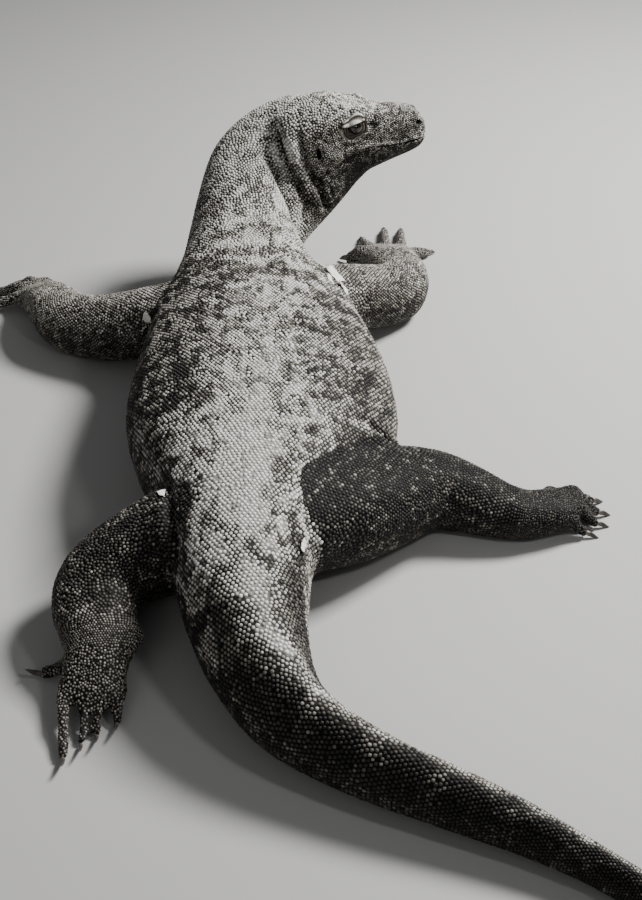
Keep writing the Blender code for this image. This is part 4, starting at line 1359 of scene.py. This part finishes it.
# %% Eyeballs
def eyeball(side, word):
    """A ball with a cornea, looking outwards, a little forwards and up."""
    centre = Vector(from_head((EYE_BACK, side * eye_out, EYE_UP)))
    look = (Vector(from_head((EYE_BACK - 0.25, side * (eye_out + 1), EYE_UP + 0.22))) - centre).normalized()
    turned = look.to_track_quat("Z", "Y").to_euler()
    bpy.ops.object.select_all(action="DESELECT")
    bpy.ops.mesh.primitive_uv_sphere_add(
        radius=BALL, segments=64, ring_count=40, location=centre, rotation=turned
    )
    ball = bpy.context.object
    bpy.ops.object.transform_apply(location=True, rotation=True, scale=True)
    points = coords(ball.data)
    arm = points - np.array(centre)
    gaze = unit(arm) @ np.array(look)
    points += arm * (0.035 * smooth_step(gaze, 0.62, 0.92))[:, None]
    set_coords(ball.data, points)
    attribute(ball.data, "gaze", gaze)
    ball.data.shade_smooth()
    ball.name = ball.data.name = "eyeball_" + word
    return ball


eyes = {word: eyeball(side, word) for word, side in (("right", 1), ("left", -1))}
print("eyes:", [round(BALL * 2000, 1), "mm across"])

# %% [markdown]
# ## Claws
# The solids of the claws are already curved and pointed. Each is copied, its foot is drawn back under
# the toe's skin, and a subdivision rounds it. How far along the claw a point lies is kept for the horn.

# %% Talons
TUCKED = 0.0030  # how far a claw's foot is drawn back
SHARPENED = 0.0010  # how far its tip is drawn out


def talon(node):
    """A rounded copy of a claw's solid whose foot sits inside the toe."""
    piece = linked(node.replace("claw", "talon"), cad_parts[node].data.copy())
    shell = bmesh.new()
    shell.from_mesh(piece.data)
    bmesh.ops.remove_doubles(shell, verts=shell.verts, dist=1e-5)
    shell.to_mesh(piece.data)
    shell.free()
    points = coords(piece.data)
    paw = np.array(middle(node.replace("claw_", "")[:-2]))
    tip = points[np.argmax(np.linalg.norm(points - paw, axis=1))]
    arm = unit(points.mean(axis=0) - tip)
    share = (points - tip) @ arm
    share /= share.max()
    points += (share > 0.80)[:, None] * arm * TUCKED
    points += (unit(tip - points.mean(axis=0)) * SHARPENED) * (share < 0.05)[:, None]
    set_coords(piece.data, points)
    attribute(piece.data, "share", share)
    applied(piece, "SUBSURF", levels=2, render_levels=2)
    points = coords(piece.data)
    points[:, 2] = np.maximum(points[:, 2], 0.0001)
    set_coords(piece.data, points)
    piece.data.shade_smooth()
    piece.data.name = piece.name
    return piece


talons = {node: talon(node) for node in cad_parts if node.startswith("claw")}
print("talons:", len(talons))

# %% [markdown]
# ## Finishes
# The colour of hide and scales comes from the tone kept on them, through one ramp shared as a node
# group, from blackish brown through warm grey to bone. `rise` runs from 0 in the gap beside a scale to
# 1 on its crown, and darkens the gaps and the foot of each scale with painted shade.

# %% Small tools for node trees
def group_socket(group, name, kind, way, value=None):
    socket = group.interface.new_socket(name=name, in_out=way, socket_type="NodeSocket" + kind)
    if value is not None:
        socket.default_value = value


def ramp_node(tree, stops):
    """A colour ramp with these stops of (place, colour)."""
    node = tree.nodes.new("ShaderNodeValToRGB")
    ramp = node.color_ramp
    while len(ramp.elements) > 1:
        ramp.elements.remove(ramp.elements[-1])
    ramp.elements[0].position, ramp.elements[0].color = stops[0][0], (*stops[0][1], 1)
    for place, colour in stops[1:]:
        ramp.elements.new(place).color = (*colour, 1)
    return node


def noise_in(tree, scale, detail=2):
    """Noise in the piece's own space."""
    where = tree.nodes.new("ShaderNodeTexCoord")
    noise = tree.nodes.new("ShaderNodeTexNoise")
    noise.inputs["Scale"].default_value = scale
    noise.inputs["Detail"].default_value = detail
    tree.links.new(where.outputs["Object"], noise.inputs["Vector"])
    return noise.outputs["Fac"]


def varied_by(tree, noise, strength, value):
    """The value with so much of the noise added to it."""
    node = tree.nodes.new("ShaderNodeMath")
    node.operation = "MULTIPLY_ADD"
    node.inputs[1].default_value = strength
    tree.links.new(noise, node.inputs[0])
    tree.links.new(value, node.inputs[2])
    return node.outputs[0]

# %% [markdown]
# The group takes tone and rise and gives colour, roughness and a fine grain, so that one change here
# changes every piece of the coat.

# %% Shared hide colours
HIDE_STOPS = (
    (0.0, (0.012, 0.010, 0.009)), (0.2, (0.050, 0.044, 0.037)), (0.4, (0.150, 0.135, 0.114)),
    (0.6, (0.370, 0.342, 0.300)), (0.8, (0.660, 0.626, 0.565)), (1.0, (0.900, 0.878, 0.830)),
)
# colour left in the deepest painted shade, in the gaps beside the scales
GAP_PAINTED_SHADE = 0.035
GRAIN_TONE = 0.14  # how much the fine grain varies the tone


def hide_group():
    """Colour with painted shade where rise is low, roughness and fine height of the hide from its tone and
    rise.
    """
    group = bpy.data.node_groups.new("hide_colours", "ShaderNodeTree")
    group_socket(group, "Tone", "Float", "INPUT", 0.5)
    group_socket(group, "Rise", "Float", "INPUT", 1.0)
    group_socket(group, "Color", "Color", "OUTPUT")
    group_socket(group, "Roughness", "Float", "OUTPUT")
    group_socket(group, "Height", "Float", "OUTPUT")
    nodes, link = group.nodes, group.links.new
    given, result = nodes.new("NodeGroupInput"), nodes.new("NodeGroupOutput")
    grain = noise_in(group, 900, 3)
    centred = nodes.new("ShaderNodeMath")
    centred.operation = "SUBTRACT"
    centred.inputs[1].default_value = GRAIN_TONE / 2
    link(varied_by(group, grain, GRAIN_TONE, given.outputs["Tone"]), centred.inputs[0])
    ramp = ramp_node(group, HIDE_STOPS)
    link(centred.outputs[0], ramp.inputs["Fac"])
    gap = nodes.new("ShaderNodeMapRange")
    gap.inputs["From Min"].default_value = 0.20
    gap.inputs["To Min"].default_value = GAP_PAINTED_SHADE
    link(given.outputs["Rise"], gap.inputs["Value"])
    shade = nodes.new("ShaderNodeMix")
    shade.data_type = "RGBA"
    shade.blend_type = "MULTIPLY"
    shade.inputs["Factor"].default_value = 1
    link(ramp.outputs["Color"], shade.inputs["A"])
    link(gap.outputs["Result"], shade.inputs["B"])
    link(shade.outputs["Result"], result.inputs["Color"])
    rough = nodes.new("ShaderNodeMapRange")
    rough.inputs["To Min"].default_value = 0.50
    rough.inputs["To Max"].default_value = 0.75
    link(grain, rough.inputs["Value"])
    link(rough.outputs["Result"], result.inputs["Roughness"])
    link(grain, result.inputs["Height"])
    return group


HIDE_COLOURS = hide_group()
print("hide colours:", len(HIDE_COLOURS.nodes), "nodes")

# %% [markdown]
# Skin and scales share those colours and differ in their polish: the skin in the gaps is duller and has
# a deeper grain, the worn crowns of the scales shine a little. The same dry finish does for the flakes.

# %% Hide and scales
def blank(name):
    """A material with its tree's nodes and links, and its shader."""
    material = bpy.data.materials.new(name)
    material.use_nodes = True
    return material, material.node_tree, material.node_tree.nodes["Principled BSDF"]


def read(tree, name):
    node = tree.nodes.new("ShaderNodeAttribute")
    node.attribute_name = name
    return node.outputs["Fac"]


def bumped(tree, shader, height, strength, depth):
    """Gives the shader's surface this height as a bump."""
    bump = tree.nodes.new("ShaderNodeBump")
    bump.inputs["Strength"].default_value = strength
    bump.inputs["Distance"].default_value = depth
    tree.links.new(height, bump.inputs["Height"])
    tree.links.new(bump.outputs["Normal"], shader.inputs["Normal"])


def hide_material(name, depth, gloss):
    """Dry hide with a fine grain this deep."""
    material, tree, shader = blank(name)
    colours = tree.nodes.new("ShaderNodeGroup")
    colours.node_tree = HIDE_COLOURS
    tree.links.new(read(tree, "tone"), colours.inputs["Tone"])
    tree.links.new(read(tree, "rise"), colours.inputs["Rise"])
    tree.links.new(colours.outputs["Color"], shader.inputs["Base Color"])
    tree.links.new(colours.outputs["Roughness"], shader.inputs["Roughness"])
    bumped(tree, shader, colours.outputs["Height"], 0.5, depth)
    shader.inputs["Specular IOR Level"].default_value = gloss
    return material


SKIN_FINISH = hide_material("hide_between_scales", 0.0006, 0.12)
SCALE_FINISH = hide_material("hide_scales", 0.00025, 0.28)


def finished(piece, material):
    piece.data.materials.clear()
    piece.data.materials.append(material)


finished(skin, SKIN_FINISH)
for piece in (*coat.values(), *flakes):
    finished(piece, SCALE_FINISH)
print("scale finish on", len(coat) + len(flakes), "pieces")

# %% [markdown]
# The eyes are the only wet part and so the glossiest. Rings of colour round the way they look make
# pupil, iris and rim.

# %% Wet eyes
def eye_material():
    """Black pupil, dark brown iris flecked with gold, blackish rim."""
    material, tree, shader = blank("wet_eye")
    ragged = varied_by(tree, noise_in(tree, 700), 0.03, read(tree, "gaze"))
    ramp = ramp_node(tree, (
        (0.0, (0.06, 0.045, 0.035)), (0.56, (0.020, 0.014, 0.010)), (0.62, (0.006, 0.004, 0.003)),
        (0.70, (0.016, 0.010, 0.006)), (0.90, (0.030, 0.018, 0.009)), (0.935, (0.012, 0.007, 0.004)),
        (0.945, (0.0015, 0.0015, 0.0015)),
    ))
    tree.links.new(ragged, ramp.inputs["Fac"])
    tree.links.new(ramp.outputs["Color"], shader.inputs["Base Color"])
    shader.inputs["Roughness"].default_value = 0.06
    shader.inputs["Coat Weight"].default_value = 0.4
    shader.inputs["Coat Roughness"].default_value = 0.02
    return material


EYE_FINISH = eye_material()
for ball in eyes.values():
    finished(ball, EYE_FINISH)
print("eyes finished:", len(eyes))

# %% [markdown]
# Horn grows from the toe outwards: its foot is dusty, its middle dark and its tip worn pale.

# %% Horn
def horn_material():
    """Mottled grey-brown horn, dusty at the foot and worn at the tip."""
    material, tree, shader = blank("claw_horn")
    mottling = noise_in(tree, 420, 5)
    ramp = ramp_node(tree, (
        (0.05, (0.22, 0.19, 0.15)), (0.30, (0.060, 0.050, 0.042)), (0.75, (0.035, 0.030, 0.026)),
        (1.10, (0.16, 0.14, 0.11)),
    ))
    tree.links.new(varied_by(tree, mottling, 0.22, read(tree, "share")), ramp.inputs["Fac"])
    tree.links.new(ramp.outputs["Color"], shader.inputs["Base Color"])
    bumped(tree, shader, mottling, 0.4, 0.0003)
    shader.inputs["Roughness"].default_value = 0.34
    return material


HORN_FINISH = horn_material()
for piece in talons.values():
    finished(piece, HORN_FINISH)
print("materials:", [m.name for m in bpy.data.materials if m.users])

# %% [markdown]
# ## The pieces ride on the body
# Nothing moves on a still model, so every piece rides on its one body. The skin stands for all the
# nodes of flesh, and each eye and talon for its own node.

# %% Ride on the body and hide the solids
for piece in (skin, *coat.values(), *flakes):
    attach(piece, "root")
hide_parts(*flesh)
for word, ball in eyes.items():
    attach(ball, "root")
    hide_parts("eye_" + word)
for node, piece in talons.items():
    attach(piece, "root")
    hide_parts(node)
print("pieces:", 1 + len(coat) + len(flakes) + len(eyes) + len(talons))

# %% [markdown]
# ## Floor, light and camera
# The floor is wide, plain and pale, so that it takes no attention, and lies a hair below the lowest
# scale.

# %% Floor
FLOOR = 30.0
bpy.ops.object.select_all(action="DESELECT")
bpy.ops.mesh.primitive_plane_add(size=FLOOR, location=(0, 0, -0.0005))
floor = bpy.context.object
floor.name = "floor"
floor_finish, _, floor_shader = blank("pale_floor")
floor_shader.inputs["Base Color"].default_value = (0.46, 0.455, 0.44, 1)
floor_shader.inputs["Roughness"].default_value = 0.85
finished(floor, floor_finish)
print("floor:", FLOOR, "m wide")

# %% [markdown]
# One soft light stands high beyond the head and to the animal's right, and leaves its near flanks in
# shade. A weak one on the camera's side and a faint grey surround keep the shade from going black.

# %% Lights
def soft_light(name, place, target, size, power):
    data = bpy.data.lights.new(name, "AREA")
    data.size = size
    data.energy = power
    lamp = bpy.data.objects.new(name, data)
    bpy.context.scene.collection.objects.link(lamp)
    lamp.location = place
    lamp.rotation_euler = (Vector(target) - Vector(place)).to_track_quat("-Z", "Y").to_euler()


soft_light("sky", (1.9, 1.15, 2.6), (-0.1, 0.1, 0), 0.9, 265)
soft_light("front", (-1.5, -3.0, 2.2), (-0.1, 0, 0), 2.0, 8)
world = bpy.data.worlds.new("studio")
bpy.context.scene.world = world
world.use_nodes = True
backdrop = world.node_tree.nodes["Background"].inputs
backdrop["Color"].default_value = (0.9, 0.92, 0.95, 1)
backdrop["Strength"].default_value = 0.15
print("lights:", [lamp.name for lamp in bpy.data.lights])

# %% [markdown]
# The camera stands behind the tail, well above it, and looks down along the back, so that the animal
# is seen foreshortened, with its raised head on top.

# %% Camera
LOOKING_DOWN = math.radians(36)
CAMERA_FROM_HIPS = Vector((0.10454, -1.27479, 1.2))
camera_data = bpy.data.cameras.new("camera")
camera_data.lens = 50.0
camera_data.sensor_width = 36.0
camera = bpy.data.objects.new("camera", camera_data)
bpy.context.scene.collection.objects.link(camera)
camera.location = hips + CAMERA_FROM_HIPS
camera.rotation_euler = (math.pi / 2 - LOOKING_DOWN, 0, 0)
bpy.context.scene.camera = camera
print("camera at", [round(v, 2) for v in camera.location])

# %% [markdown]
# An eye without a glint looks dead. A last small light stands where the wet right eye mirrors it to the
# camera: the way to the camera, turned over about the way the ball faces there.

# %% A glint in the eye
GLINT_AWAY = 1.4
eye = middle("eye_right")
to_camera = (camera.location - eye).normalized()
wet = (crown * 0.34 - to_left * 0.94).normalized()  # the part of the ball that shows, just under the lid
mirrored = 2 * wet.dot(to_camera) * wet - to_camera
soft_light("glint", eye + mirrored * GLINT_AWAY, eye, 0.10, 1.6)
print("glint from", [round(v, 2) for v in eye + mirrored * GLINT_AWAY])
